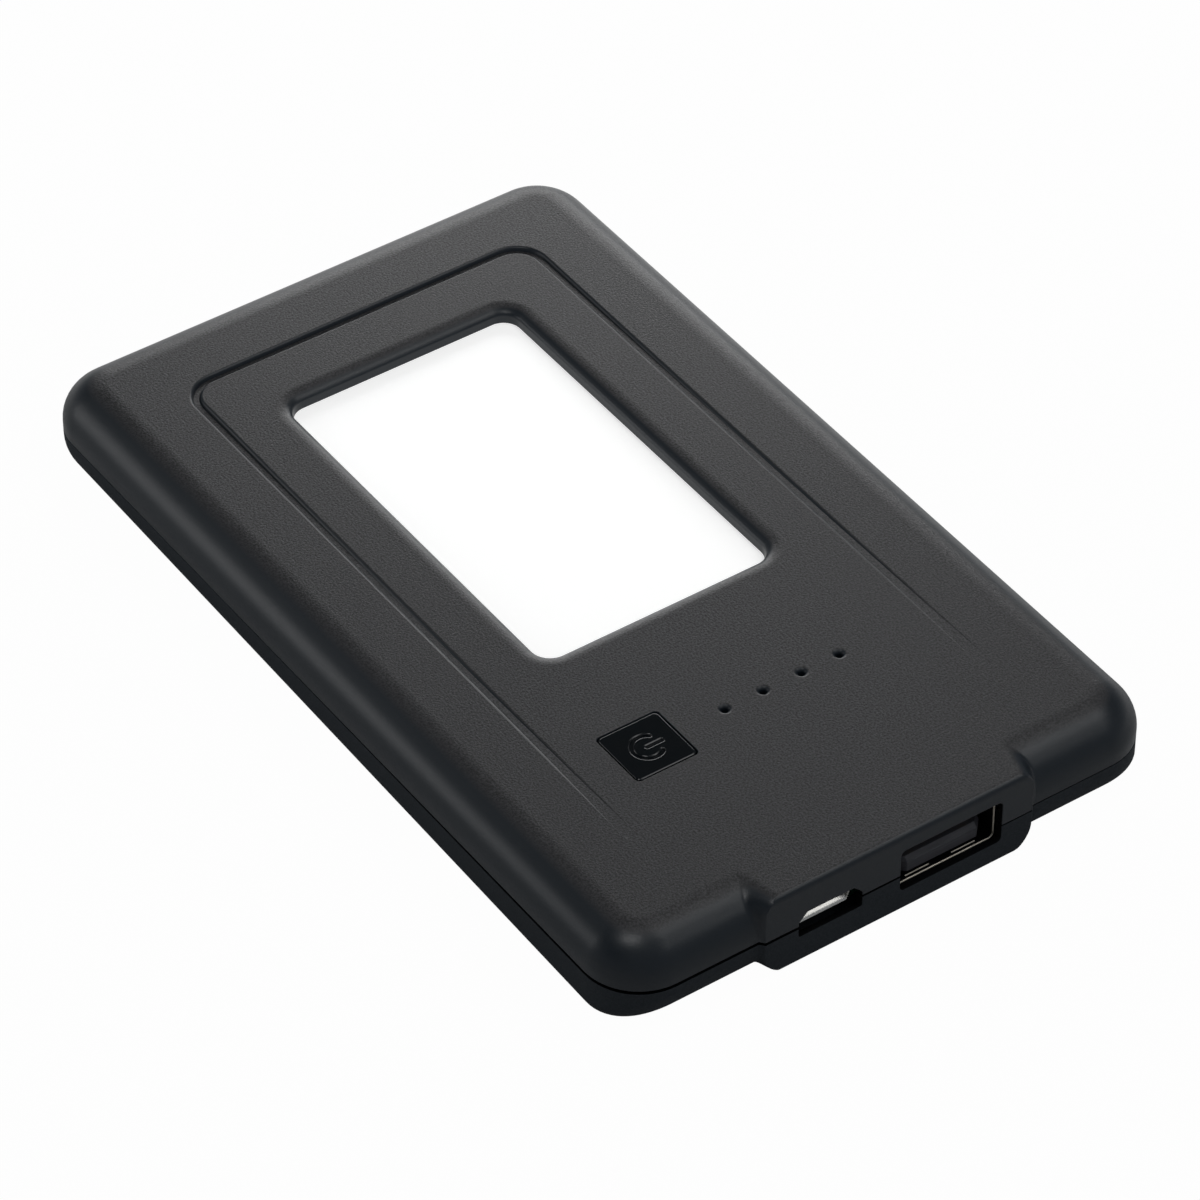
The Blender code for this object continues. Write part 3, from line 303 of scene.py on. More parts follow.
# Black ABS from a polished mould: blue-black with a clear, slightly wavy reflection
POLISHED_ABS = Finish("polished_black_abs", "#080d10", "#060a0d", 0.14, 0.02, 3.0, 0.0006,
                      sockets=(("IOR", 1.53), ("Specular IOR Level", 0.45)))
# Opal acrylic sheet lit from behind: an even milky white with a soft satin face
OPAL_ACRYLIC = Finish("opal_acrylic", "#cfcfcd", "#cacac8", 0.42, 0.03, 0.6, 0.0008,
                      sockets=(("IOR", 1.49), ("Emission Color", linear(WHITE)),
                               ("Emission Strength", 0.58)))
# Deep-drawn steel strip plated with nickel: bright, with faint rolling lines along the strip
PLATED_STEEL = Finish("nickel_plated_steel", "#dcdad4", "#d0cec8", 0.26, 0.03, 0.12, 0.0003, Run.ALONG_X, 1.0)
# The same steel where the strip was sheared: a dull satin edge. It also lies on the springs' bends and the
# inner faces near the mouth, as painted shade that dims their glints
SHEARED_AND_SHADE_STEEL = Finish("sheared_edge_and_painted_shade_steel", "#b8b2a6", "#a49e92", 0.38, 0.05, 0.10, 0.0008, Run.ALONG_X, 1.0)
# Painted shade inside the wide socket: the same steel made dull and dark where the shell's inside lies in
# shadow
PAINTED_SHADE_STEEL = Finish("painted_shade_steel", "#2c2c2e", "#222224", 0.48, 0.06, 0.15, 0.001, Run.ALONG_Y, 1.0)
# Glass-filled black nylon, moulded: dull dark grey with a slight fibre grain
FILLED_NYLON = Finish("glass_filled_nylon", "#3e3e43", "#333338", 0.55, 0.06, 0.18, 0.004, Run.ALONG_X,
                      sockets=(("IOR", 1.53),))
# Gold flash on spring bronze: warm and bright, with faint drawing lines
GOLD_FLASH = Finish("gold_flashed_bronze", "#e6c069", "#d4ab52", 0.24, 0.05, 0.10, 0.0004, Run.ALONG_Y, 1.0)
# Glass-epoxy board under green solder mask: a glossy skin over a faint weave
SOLDER_MASK = Finish("green_solder_mask", "#14583a", "#0e4a30", 0.32, 0.05, 0.45, 0.003,
                     sockets=(("IOR", 1.55), ("Coat Weight", 0.3)))
# Moulded epoxy of chips and the switch body: matt black with a fine grit
MOULD_EPOXY = Finish("black_mould_epoxy", "#242426", "#1b1b1d", 0.62, 0.06, 0.15, 0.004,
                     sockets=(("IOR", 1.55),))
# Pressed ferrite: dull dark grey with a sandy grain
FERRITE = Finish("pressed_ferrite", "#4b4b4e", "#3c3c3f", 0.70, 0.08, 0.20, 0.008)
# Drawn aluminium can: bright, with lines round the draw
DRAWN_CAN = Finish("drawn_aluminium", "#dcdee0", "#c8cacc", 0.28, 0.06, 0.15, 0.001, Run.ALONG_Z, 1.0)
# Phosphor gel of a small lamp, unlit: pale yellow and waxy
PHOSPHOR = Finish("phosphor_gel", "#eee3a8", "#e6d896", 0.35, 0.04, 0.25, 0.002, sockets=(("IOR", 1.41),))
# Zinc-plated screw steel: grey and bright with a slight haze
ZINC_STEEL = Finish("zinc_plated_steel", "#b9bbbe", "#a3a5a9", 0.34, 0.08, 0.20, 0.002, metallic=1.0)
# Aluminium laminate of the pouch cell: silvery satin with soft waves
POUCH_FOIL = Finish("aluminium_laminate", "#c9cacb", "#b9babc", 0.42, 0.07, 6.0, 0.05, metallic=1.0)
# Pure nickel strip and snap dome: warm grey metal with rolling lines
NICKEL_STRIP = Finish("rolled_nickel", "#cbc5ba", "#bab4a9", 0.30, 0.06, 0.10, 0.0008, Run.ALONG_Y, 1.0)
# Foam tape: off-white and dull with open cells
FOAM_TAPE = Finish("acrylic_foam_tape", "#e6e2d6", "#d8d3c5", 0.85, 0.05, 0.35, 0.02)
# White polyester film that sends the light upwards: dull and even
WHITE_FILM = Finish("white_polyester_film", "#f2f2f0", "#eaeae8", 0.60, 0.05, 0.50, 0.002)
# Clear acrylic of the light guide: see-through, with a fine dot print on its back
CLEAR_ACRYLIC = Finish("clear_acrylic", "#f0f4f5", "#e6ecee", 0.08, 0.03, 0.80, 0.001,
                       sockets=(("IOR", 1.49), ("Transmission Weight", 0.9)))
# Silicone rubber of the light shield: black and dead matt
SHIELD_RUBBER = Finish("black_silicone", "#1c1c1d", "#151516", 0.85, 0.05, 0.30, 0.006,
                       sockets=(("IOR", 1.41),))
# Silicone insulation of the two leads: soft gloss, with faint lines along the lead
RED_SILICONE = Finish("red_silicone", "#b3241c", "#9c1c15", 0.45, 0.06, 0.20, 0.002, Run.ALONG_Y)
BLACK_SILICONE = Finish("black_lead_silicone", "#1d1d1e", "#161617", 0.45, 0.06, 0.20, 0.002, Run.ALONG_Y)

# Finish of each material slot whose CAD pieces stay
FINISH_OF_SLOT = {
    "acrylic": CLEAR_ACRYLIC, "white_sheet": WHITE_FILM, "lamp": PHOSPHOR,
    "component_black": MOULD_EPOXY, "nickel": NICKEL_STRIP, "socket_plastic": FILLED_NYLON,
    "shield_rubber": SHIELD_RUBBER, "contact": GOLD_FLASH, "board": SOLDER_MASK, "screw": ZINC_STEEL,
    "ferrite": FERRITE, "can": DRAWN_CAN, "pouch": POUCH_FOIL, "tape": FOAM_TAPE, "lead_red": RED_SILICONE,
    "lead_black": BLACK_SILICONE,
}


def skin(name: str, rings: Sequence[Sequence[Vector]], looped: bool = False) -> bpy.types.Object:
    """Skin a run of rings with equal counts, closed by end faces or on its first ring.

    Args:
        name: Name of the new object.
        rings: Rings of points, in order.
        looped: True for a ring-shaped body.

    Returns:
        The new object, in the scene.
    """
    work = bmesh.new()
    loops = [[work.verts.new(point) for point in ring] for ring in rings]
    pairs = list(zip(loops, loops[1:]))
    if looped:
        pairs.append((loops[-1], loops[0]))
    else:
        work.faces.new(list(reversed(loops[0])))
        work.faces.new(loops[-1])
    for low, high in pairs:
        for i in range(len(low)):
            j = (i + 1) % len(low)
            work.faces.new((low[i], low[j], high[j], high[i]))
    bmesh.ops.recalc_face_normals(work, faces=work.faces)
    mesh = bpy.data.meshes.new(name)
    work.to_mesh(mesh)
    work.free()
    made = bpy.data.objects.new(name, mesh)
    bpy.context.scene.collection.objects.link(made)
    return made


def block(name: str, low: Sequence[float], high: Sequence[float]) -> bpy.types.Object:
    """Make a box between two corners, as a tool for cutting or joining.

    Args:
        name: Name of the new object.
        low: Lowest corner.
        high: Highest corner.

    Returns:
        The new object.
    """
    plan = ((low[0], low[1]), (high[0], low[1]), (high[0], high[1]), (low[0], high[1]))
    return skin(name, [[Vector((x, y, z)) for x, y in plan] for z in (low[2], high[2])])


class Join(Enum):
    """What a tool does to a body."""

    CUT = "DIFFERENCE"
    ADD = "UNION"


def work_over(body: bpy.types.Object, steps: Iterable[tuple[Join, bpy.types.Object]]) -> None:
    """Cut tools out of a body and add others to it, then clear the tools away.

    Args:
        body: Object that is shaped.
        steps: What each tool does, in order.
    """
    tools = []
    for join, tool in steps:
        step = body.modifiers.new(tool.name, "BOOLEAN")
        step.operation = join.value
        step.solver = "EXACT"
        step.object = tool
        tools.append(tool)
    settle(body)
    for tool in tools:
        mesh = tool.data
        bpy.data.objects.remove(tool, do_unlink=True)
        bpy.data.meshes.remove(mesh)


def settle(body: bpy.types.Object) -> None:
    """Turn a body's modifiers into its mesh and drop slivers.

    Args:
        body: Object with the modifiers.
    """
    graph = bpy.context.evaluated_depsgraph_get()
    graph.update()
    mesh = bpy.data.meshes.new_from_object(body.evaluated_get(graph))
    body.modifiers.clear()
    old = body.data
    body.data = mesh
    bpy.data.meshes.remove(old)
    mesh.name = body.name
    work = bmesh.new()
    work.from_mesh(mesh)
    bmesh.ops.remove_doubles(work, verts=work.verts, dist=WELD)
    bmesh.ops.dissolve_degenerate(work, edges=work.edges, dist=WELD)
    work.to_mesh(mesh)
    work.free()


def smooth(body: bpy.types.Object, degrees: float = SHARP_DEGREES) -> None:
    """Shade a body smooth between its sharp edges, led by its large faces.

    Args:
        body: Object to shade.
        degrees: Angle from which an edge is sharp.
    """
    body.data.shade_smooth()
    body.data.set_sharp_from_angle(angle=math.radians(degrees))
    lead = body.modifiers.new("large_faces_lead", "WEIGHTED_NORMAL")
    lead.keep_sharp = True


def seat(piece: bpy.types.Object, body: str, slot: str, finish: Finish, *nodes: str) -> bpy.types.Object:
    """Dress a piece, let it ride on a body and stand for CAD nodes.

    Args:
        piece: The new piece.
        body: CAD body that it moves with.
        slot: Material slot of the record; not used.
        finish: Its finish.
        *nodes: CAD nodes that it replaces.

    Returns:
        The same piece.
    """
    if not piece.data.materials:
        piece.data.materials.append(None)
    piece.data.materials[0] = finish.material()
    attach(piece, body)
    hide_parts(*nodes)
    return piece


def mark(piece: bpy.types.Object, index: int, *numbers: int) -> bpy.types.Object:
    """Give a piece's faces another material slot.

    Args:
        piece: The piece or tool.
        index: Number of the slot.
        *numbers: Which faces; all of them when left out.

    Returns:
        The same piece.
    """
    faces = piece.data.polygons
    for number in numbers or range(len(faces)):
        faces[number].material_index = index
    return piece


def corner_runs(half_x: float, half_y: float, radius: float, steps: int) -> list[Trace]:
    """Corners of a rounded rectangle about the origin, anticlockwise from the +X +Y one.

    Args:
        half_x: Half of its width.
        half_y: Half of its height.
        radius: Corner radius.
        steps: Divisions of a corner.

    Returns:
        One run of points with their outward directions for each corner.
    """
    radius = min(radius, half_x, half_y)
    runs = []
    for number, (sx, sy) in enumerate(((1, 1), (-1, 1), (-1, -1), (1, -1))):
        centre = Vector((sx * (half_x - radius), sy * (half_y - radius)))
        run = []
        for step in range(steps + 1):
            angle = math.pi / 2 * (number + step / steps)
            way = Vector((math.cos(angle), math.sin(angle)))
            run.append((centre + way * radius, way))
        runs.append(run)
    return runs


def side_points(runs: Sequence[Trace], number: int, steps: int) -> Trace:
    """Points between the ends of the straight side that follows a corner.

    Args:
        runs: The corners.
        number: Which corner.
        steps: Divisions of the side.

    Returns:
        Points with their outward directions.
    """
    start, way = runs[number][-1]
    end = runs[(number + 1) % CORNERS][0][0]
    return [(start.lerp(end, i / steps), way) for i in range(1, steps)]


def outline(half_x: float, half_y: float, radius: float, steps: int = CORNER_STEPS, side: int = 1) -> Trace:
    """Points of a rounded rectangle with their outward directions.

    Args:
        half_x: Half of its width.
        half_y: Half of its height.
        radius: Corner radius.
        steps: Divisions of a corner.
        side: Divisions of a straight side.

    Returns:
        Points and directions, anticlockwise.
    """
    runs = corner_runs(half_x, half_y, radius, steps)
    points = []
    for number, run in enumerate(runs):
        points += run + side_points(runs, number, side)
    return points


def circle(radius: float, steps: int) -> Trace:
    """Points of a circle with their outward directions.

    Args:
        radius: Its radius.
        steps: Divisions of a quarter.

    Returns:
        Points and directions, anticlockwise.
    """
    points = outline(radius, radius, radius, steps)
    return [pair for i, pair in enumerate(points) if (pair[0] - points[i - 1][0]).length > SAME_POINT]


def level(points: Trace, grow: float, z: float, centre: Sequence[float]) -> list[Vector]:
    """Offset flat outline points outwards and lift them to a height.

    Args:
        points: Points with their outward directions.
        grow: How far to move outwards.
        z: Height.
        centre: Where the outline's middle goes.

    Returns:
        Points in space.
    """
    return [Vector((p.x + way.x * grow + centre[0], p.y + way.y * grow + centre[1], z)) for p, way in points]


def upright(points: Trace, grow: float, y: float, centre: Sequence[float]) -> list[Vector]:
    """Offset flat outline points outwards and stand them up in a plane across Y.

    Args:
        points: Points with their outward directions.
        grow: How far to move outwards.
        y: Where the plane is.
        centre: Where the outline's middle goes, as X and Z.

    Returns:
        Points in space.
    """
    return [Vector((p.x + way.x * grow + centre[0], y, p.y + way.y * grow + centre[1])) for p, way in points]


def sweep(name: str, plan: Trace, centre: Sequence[float], section: Iterable[tuple[float, float]],
          looped: bool = False) -> bpy.types.Object:
    """Skin a flat outline that grows and rises along a section.

    Args:
        name: Name of the new object.
        plan: The outline.
        centre: Where the outline's middle goes.
        section: Pairs of (grow, height), in order.
        looped: True for a ring-shaped body.

    Returns:
        The new object.
    """
    return skin(name, [level(plan, grow, z, centre) for grow, z in section], looped)


def quarter(run: float, rise: float, steps: int = RIM_STEPS) -> list[tuple[float, float]]:
    """Steps of a quarter round: how far it has opened, and how far it is from its mouth.

    Args:
        run: How far it opens in all.
        rise: How deep it is.
        steps: Divisions.

    Returns:
        Pairs of (grow, depth), from the narrow end to the mouth.
    """
    turns = [math.pi / 2 * i / steps for i in range(steps + 1)]
    return [(run * (1 - math.cos(a)), rise * (1 - math.sin(a))) for a in turns]


def fall_back(distance: float, radius: float) -> float:
    """How far a round edge has fallen back, a distance past the point where it starts."""
    reach = min(max(distance, 0.0), radius)
    return radius - math.sqrt(radius * radius - reach * reach)


def ease(share: float) -> float:
    """Slow start and end between 0 and 1."""
    share = min(max(share, 0.0), 1.0)
    return share * share * (3 - 2 * share)


def middle(node: str) -> Vector:
    """Centre of a CAD node's box."""
    low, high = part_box(node)
    return (low + high) / 2


def chamfered(half_x: float, half_z: float, chamfer: float, radius: float) -> Trace:
    """Outline of the small socket: two upper corners cut off, and every corner softened.

    Args:
        half_x: Half of its width.
        half_z: Half of its height.
        chamfer: How much the upper corners lose.
        radius: Softening of the corners.

    Returns:
        Points with their outward directions.
    """
    right = [(half_x, -half_z), (half_x, half_z - chamfer), (half_x - chamfer, half_z)]
    corners = [Vector(c) for c in right + [(-x, z) for x, z in reversed(right)]]
    points = []
    for i, corner in enumerate(corners):
        before = (corners[i - 1] - corner).normalized()
        after = (corners[(i + 1) % len(corners)] - corner).normalized()
        inward = (before + after).normalized()
        centre = corner + inward * (radius / math.sin(before.angle(after) / 2))
        ends = [Vector((-side.y, side.x)) for side in (before, after)]
        start, end = (way if way.dot(inward) < 0 else -way for way in ends)
        for step in range(RIM_STEPS + 1):
            way = start.lerp(end, step / RIM_STEPS).normalized()
            points.append((centre + way * radius, way))
    return points


def round_end(point: Vector, way: Vector, half: float) -> list[Vector]:
    """Half round at the end of a stroke, from its right side to its left.

    Args:
        point: End of the stroke's middle.
        way: Direction in which the stroke ends.
        half: Half of its width.

    Returns:
        Points between the two sides.
    """
    start = math.atan2(way.y, way.x) - math.pi / 2
    turns = [start + math.pi * i / CAP_STEPS for i in range(1, CAP_STEPS)]
    return [point + Vector((math.cos(a), math.sin(a))) * half for a in turns]


def stroke(path: Sequence[Vector], half: float) -> list[Vector]:
    """Outline of a stroke with round ends along a flat path.

    Args:
        path: Points along the stroke's middle.
        half: Half of its width.

    Returns:
        Points round the stroke.
    """
    ways = []
    for i in range(len(path)):
        before, after = path[max(i - 1, 0)], path[min(i + 1, len(path) - 1)]
        ways.append((after - before).normalized())
    right = [p + Vector((w.y, -w.x)) * half for p, w in zip(path, ways)]
    left = [p - Vector((w.y, -w.x)) * half for p, w in zip(path, ways)]
    far, near = round_end(path[-1], ways[-1], half), round_end(path[0], -ways[0], half)
    return right + far + list(reversed(left)) + near


@dataclass
class CaseForm:
    """Outer form that both shells share, with the port block in the middle of its front end."""

    half_width: float
    front: float
    back: float
    top: float
    parting: float
    corner: float = 6.8 * MM
    edge_run: float = 5.4 * MM
    edge_rise: float = 4.9 * MM
    end_radius: float = 4.4 * MM
    side_radius_front: float = 1.6 * MM
    side_radius_back: float = 4.4 * MM
    block_proud: float = 0.5 * MM
    block_half: float = 17.22 * MM
    block_shift: float = -0.17 * MM
    flank_low: float = 0.65 * MM
    flank_foot: float = 0.7 * MM
    flank_high: float = 1.8 * MM
    flank_lean: float = 1.4
    block_top_corner: float = 2.1 * MM
    block_low_corner: float = 3.4 * MM
    block_edge: float = 0.7 * MM
    block_wall: float = 0.8 * MM
    side_wall: float = 1.6 * MM
    flat_wall: float = 1.2 * MM
    inner_radius: float = 3.4 * MM
    lip_thickness: float = 0.7 * MM
    lip_rise: float = 0.8 * MM
    clearance: float = 0.3 * MM
    seam_wide: float = 0.46 * MM
    seam_narrow: float = 0.10 * MM
    seam_fade: float = 80.0 * MM
    seam_edge: float = 0.06 * MM
    ledge_share: float = 0.5

    @classmethod
    def from_frame(cls) -> "CaseForm":
        """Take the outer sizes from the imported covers, which leave the clearance between them.

        Returns:
            The form.
        """
        low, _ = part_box("bottom_cover")
        upper_low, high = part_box("top_cover")
        return cls(high.x, min(low.y, upper_low.y), high.y, high.z, upper_low.z - cls.clearance / 2)

    @property
    def body_front(self) -> float:
        """Where the end of the case is beside the port block."""
        return self.front + self.block_proud

    @property
    def ceiling(self) -> float:
        """Underside of the top wall."""
        return self.top - self.flat_wall

    @property
    def rooted(self) -> float:
        """Height inside the top wall from which the ribs under it start."""
        return self.ceiling + self.flat_wall / 4

    def seam(self, x: float, y: float) -> float:
        """Width of the parting gap, which closes up towards the right and the back.

        Args:
            x: Place along the width.
            y: Place along the length.

        Returns:
            The gap.
        """
        leftward = ease(0.5 - x / (2 * self.half_width))
        forward = ease(1 - (y - self.front) / self.seam_fade)
        return self.seam_narrow + (self.seam_wide - self.seam_narrow) * leftward * forward

    def block_run(self, end: float, z_of: Edge) -> list[Vector]:
        """Port block's outline from left to right, with flanks that blend into the end of the case.

        Args:
            end: Where the end of the case is at this height.
            z_of: Height by facing, X and Y.

        Returns:
            Points in space.
        """
        z = z_of(0.0, 0.0, self.front)
        half = (self.block_half - fall_back(z - (self.top - self.block_top_corner), self.block_top_corner)
                - fall_back(self.block_low_corner - z, self.block_low_corner))
        nose = (self.front + fall_back(z - (self.top - self.block_edge), self.block_edge)
                + fall_back(self.block_edge - z, self.block_edge))
        rise = min(max((z - self.parting) / (self.top - self.parting), 0.0), 1.0)
        foot = max(1 - z / self.parting, 0.0)
        flank = self.flank_low + (self.flank_high - self.flank_low) * rise + self.flank_foot * foot * foot
        left = []
        for step in range(FLANK_STEPS + 1):
            share = step / FLANK_STEPS
            left.append((-half - flank * (1 - share), end + (nose - end) * ease(share ** self.flank_lean)))
        across = [(-half + 2 * half * i / SIDE_STEPS, nose) for i in range(1, SIDE_STEPS)]
        run = left + across + [(-x, y) for x, y in reversed(left)]
        return [Vector((x + self.block_shift, y, z_of(0.0, x, y))) for x, y in run]

    def ring(self, inset: Edge, z_of: Edge) -> list[Vector]:
        """One ring round the case.

        Args:
            inset: Fall-back from the outline by facing, X and Y.
            z_of: Height by facing, X and Y.

        Returns:
            Points in space.
        """
        half_y = (self.back - self.body_front) / 2
        mid_y = (self.back + self.body_front) / 2
        runs = corner_runs(self.half_width, half_y, self.corner, CORNER_STEPS)
        points = []
        for number, run in enumerate(runs):
            flat = list(run)
            if number != FRONT_LEFT:
                flat += side_points(runs, number, SIDE_STEPS)
            for place, way in flat:
                y = place.y + mid_y
                back_by = inset(way.x, place.x, y)
                points.append(Vector((place.x - way.x * back_by, y - way.y * back_by,
                                      z_of(way.x, place.x, y))))
            if number == FRONT_LEFT:
                points += self.block_run(self.body_front + inset(0.0, 0.0, self.body_front), z_of)
        return points

    def low_radius(self, facing: float, y: float) -> float:
        """Radius of the lower edge, which grows from front to back along the sides.

        Args:
            facing: How far the place faces along X.
            y: Place along the length.

        Returns:
            The radius.
        """
        along = (y - self.body_front) / (self.back - self.body_front)
        side = self.side_radius_front + (self.side_radius_back - self.side_radius_front) * along
        return side * facing * facing + self.end_radius * (1 - facing * facing)

    def ledge(self, ring: Sequence[Vector], z: float) -> list[Vector]:
        """Inner end of a shell's ledge at the seam: its ring drawn in towards the middle, at one height."""
        return [Vector((point.x * self.ledge_share, point.y * self.ledge_share, z)) for point in ring]

    def lower_rings(self) -> list[list[Vector]]:
        """Rings of the lower shell's outside, from the flat underside up to the seam and over its ledge.

        Returns:
            The rings; the last band is the ledge.
        """
        rings = []
        for back, rise in reversed(quarter(1.0, 1.0, EDGE_STEPS)):
            rings.append(self.ring(lambda n, x, y, b=back: self.low_radius(n, y) * b,
                                   lambda n, x, y, r=rise: self.low_radius(n, y) * r))
        for inset, under in ((0.0, self.seam_edge), (self.seam_edge, 0.0)):
            rings.append(self.ring(lambda n, x, y, i=inset: i,
                                   lambda n, x, y, u=under: self.parting - self.seam(x, y) / 2 - u))
        return rings + [self.ledge(rings[-1], self.parting - self.seam_wide / 2)]

    def upper_rings(self) -> list[list[Vector]]:
        """Rings of the upper shell's outside, from its ledge out to the seam and up to the flat top.

        Returns:
            The rings; the first band is the ledge.
        """
        rings = []
        for inset, above in ((self.seam_edge, 0.0), (0.0, self.seam_edge)):
            rings.append(self.ring(lambda n, x, y, i=inset: i,
                                   lambda n, x, y, a=above: self.parting + self.seam(x, y) / 2 + a))
        for inset, drop in quarter(self.edge_run, self.edge_rise, EDGE_STEPS):
            rings.append(self.ring(lambda n, x, y, i=inset: i, lambda n, x, y, d=drop: self.top - d))
        return [self.ledge(rings[0], self.parting + self.seam_wide / 2)] + rings

    def cavity_plan(self, grow: float) -> Trace:
        """Outline of the hollow inside the case, grown by a distance."""
        half_y = (self.back - self.body_front) / 2 - self.side_wall + grow
        return outline(self.half_width - self.side_wall + grow, half_y, self.corner - self.side_wall + grow)

    @property
    def cavity_centre(self) -> tuple[float, float]:
        """Middle of the hollow inside the case."""
        return 0.0, (self.back + self.body_front) / 2

    def hollow(self) -> bpy.types.Object:
        """Tool for the hollow inside both shells.

        Returns:
            The tool.
        """
        bend = quarter(self.inner_radius, self.inner_radius)
        section = [(-inset, self.flat_wall + rise) for inset, rise in reversed(bend)]
        section += [(-inset, self.ceiling - drop) for inset, drop in bend]
        return sweep("hollow_tool", self.cavity_plan(0.0), self.cavity_centre, section)

    def lip(self, grow: float, top: float) -> bpy.types.Object:
        """Tool for the lip across the seam, or the rebate that takes it.

        Args:
            grow: How far it reaches into the wall.
            top: Its upper height.

        Returns:
            The tool.
        """
        section = ((0.0, self.parting - self.lip_rise), (0.0, top))
        slab = sweep("lip_tool", self.cavity_plan(grow), self.cavity_centre, section)
        # The lip's faces take the painted-shade slot, as they lie behind the seam's gap
        return mark(slab, PAINTED_SHADE_SLOT)


@dataclass
class Ports:
    """The two openings in the port block's face."""

    form: CaseForm
    wide_half: tuple[float, float] = (6.6 * MM, 2.84 * MM)
    wide_corner: float = 0.6 * MM
    small_half: tuple[float, float] = (4.05 * MM, 1.57 * MM)
    small_chamfer: float = 1.1 * MM
    small_corner: float = 0.25 * MM
    shift: tuple[float, float] = (0.08 * MM, 0.12 * MM)
    rim: float = 0.12 * MM

    def tools(self) -> list[bpy.types.Object]:
        """Make the cutting tools of both openings and of the bay behind them.

        Returns:
            The tools.
        """
        form = self.form
        wide, small = middle("usb_a_shell"), middle("micro_usb_shell")
        wide_plan = outline(*self.wide_half, self.wide_corner)
        small_plan = chamfered(*self.small_half, self.small_chamfer, self.small_corner)
        past = 2 * form.block_wall
        made = []
        section = [(0.0, past), *quarter(self.rim, self.rim), (self.rim, -past)]
        for name, plan, shell in (("wide_port_tool", wide_plan, wide),
                                  ("small_port_tool", small_plan, small)):
            centre = (shell.x + self.shift[0], shell.z + self.shift[1])
            rings = [upright(plan, grow, form.front + deep, centre) for grow, deep in section]
            made.append(skin(name, rings))
        low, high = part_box("usb_a_shell")
        gap = 2 * form.clearance
        left = small.x - self.small_half[0] - form.clearance
        right = wide.x + self.wide_half[0] + gap
        made.append(block("bay_tool", (left, form.front + form.block_wall, low.z - gap),
                          (right, form.body_front + form.side_wall + form.inner_radius, high.z + gap)))
        return made

    def line(self, shell: bpy.types.Object) -> None:
        """Paint shade onto the walls of both openings in a shell.

        Args:
            shell: The shell, cut by the tools.
        """
        last = 3 * self.form.block_wall
        for node, half in (("usb_a_shell", self.wide_half), ("micro_usb_shell", self.small_half)):
            place = middle(node)
            for face in shell.data.polygons:
                deep = face.center.y - self.form.front
                aside = abs(face.center.x - place.x - self.shift[0]) - half[0]
                above = abs(face.center.z - place.z - self.shift[1]) - half[1]
                if self.rim / 2 < deep < last and max(aside, above) < self.rim:
                    face.material_index = PAINTED_SHADE_SLOT


@dataclass
class Shell:
    """What the two shells share: their form, a ledge at the seam, and the openings of the ports; the ledge
    and the ports' walls carry painted shade.
    """

    form: CaseForm

    @staticmethod
    def begin(name: str, rings: Sequence[Sequence[Vector]], band: int, finish: Finish) -> bpy.types.Object:
        """Skin a shell's outside, with painted shade on its ledge.

        Args:
            name: Name of the new object.
            rings: Rings of its outside.
            band: Which band between two rings is the ledge.
            finish: Finish of the rest.

        Returns:
            The new object.
        """
        shell = skin(name, rings)
        for surface in (finish, PAINTED_SHADE_ABS):
            shell.data.materials.append(surface.material())
        count = len(rings[0])
        first = END_FACES + band * count
        return mark(shell, PAINTED_SHADE_SLOT, *range(first, first + count))

    def complete(self, shell: bpy.types.Object, steps: Iterable[tuple[Join, bpy.types.Object]],
                 finish: Finish, node: str) -> list[bpy.types.Object]:
        """Work a shell over with its tools, then paint shade into its ports and dress it.

        Args:
            shell: The shell.
            steps: What each tool does, in order.
            finish: Its finish.
            node: CAD node that it replaces.

        Returns:
            The shell, as the only piece.
        """
        work_over(shell, steps)
        smooth(shell)
        Ports(self.form).line(shell)
        return [seat(shell, "case", "case", finish, node)]


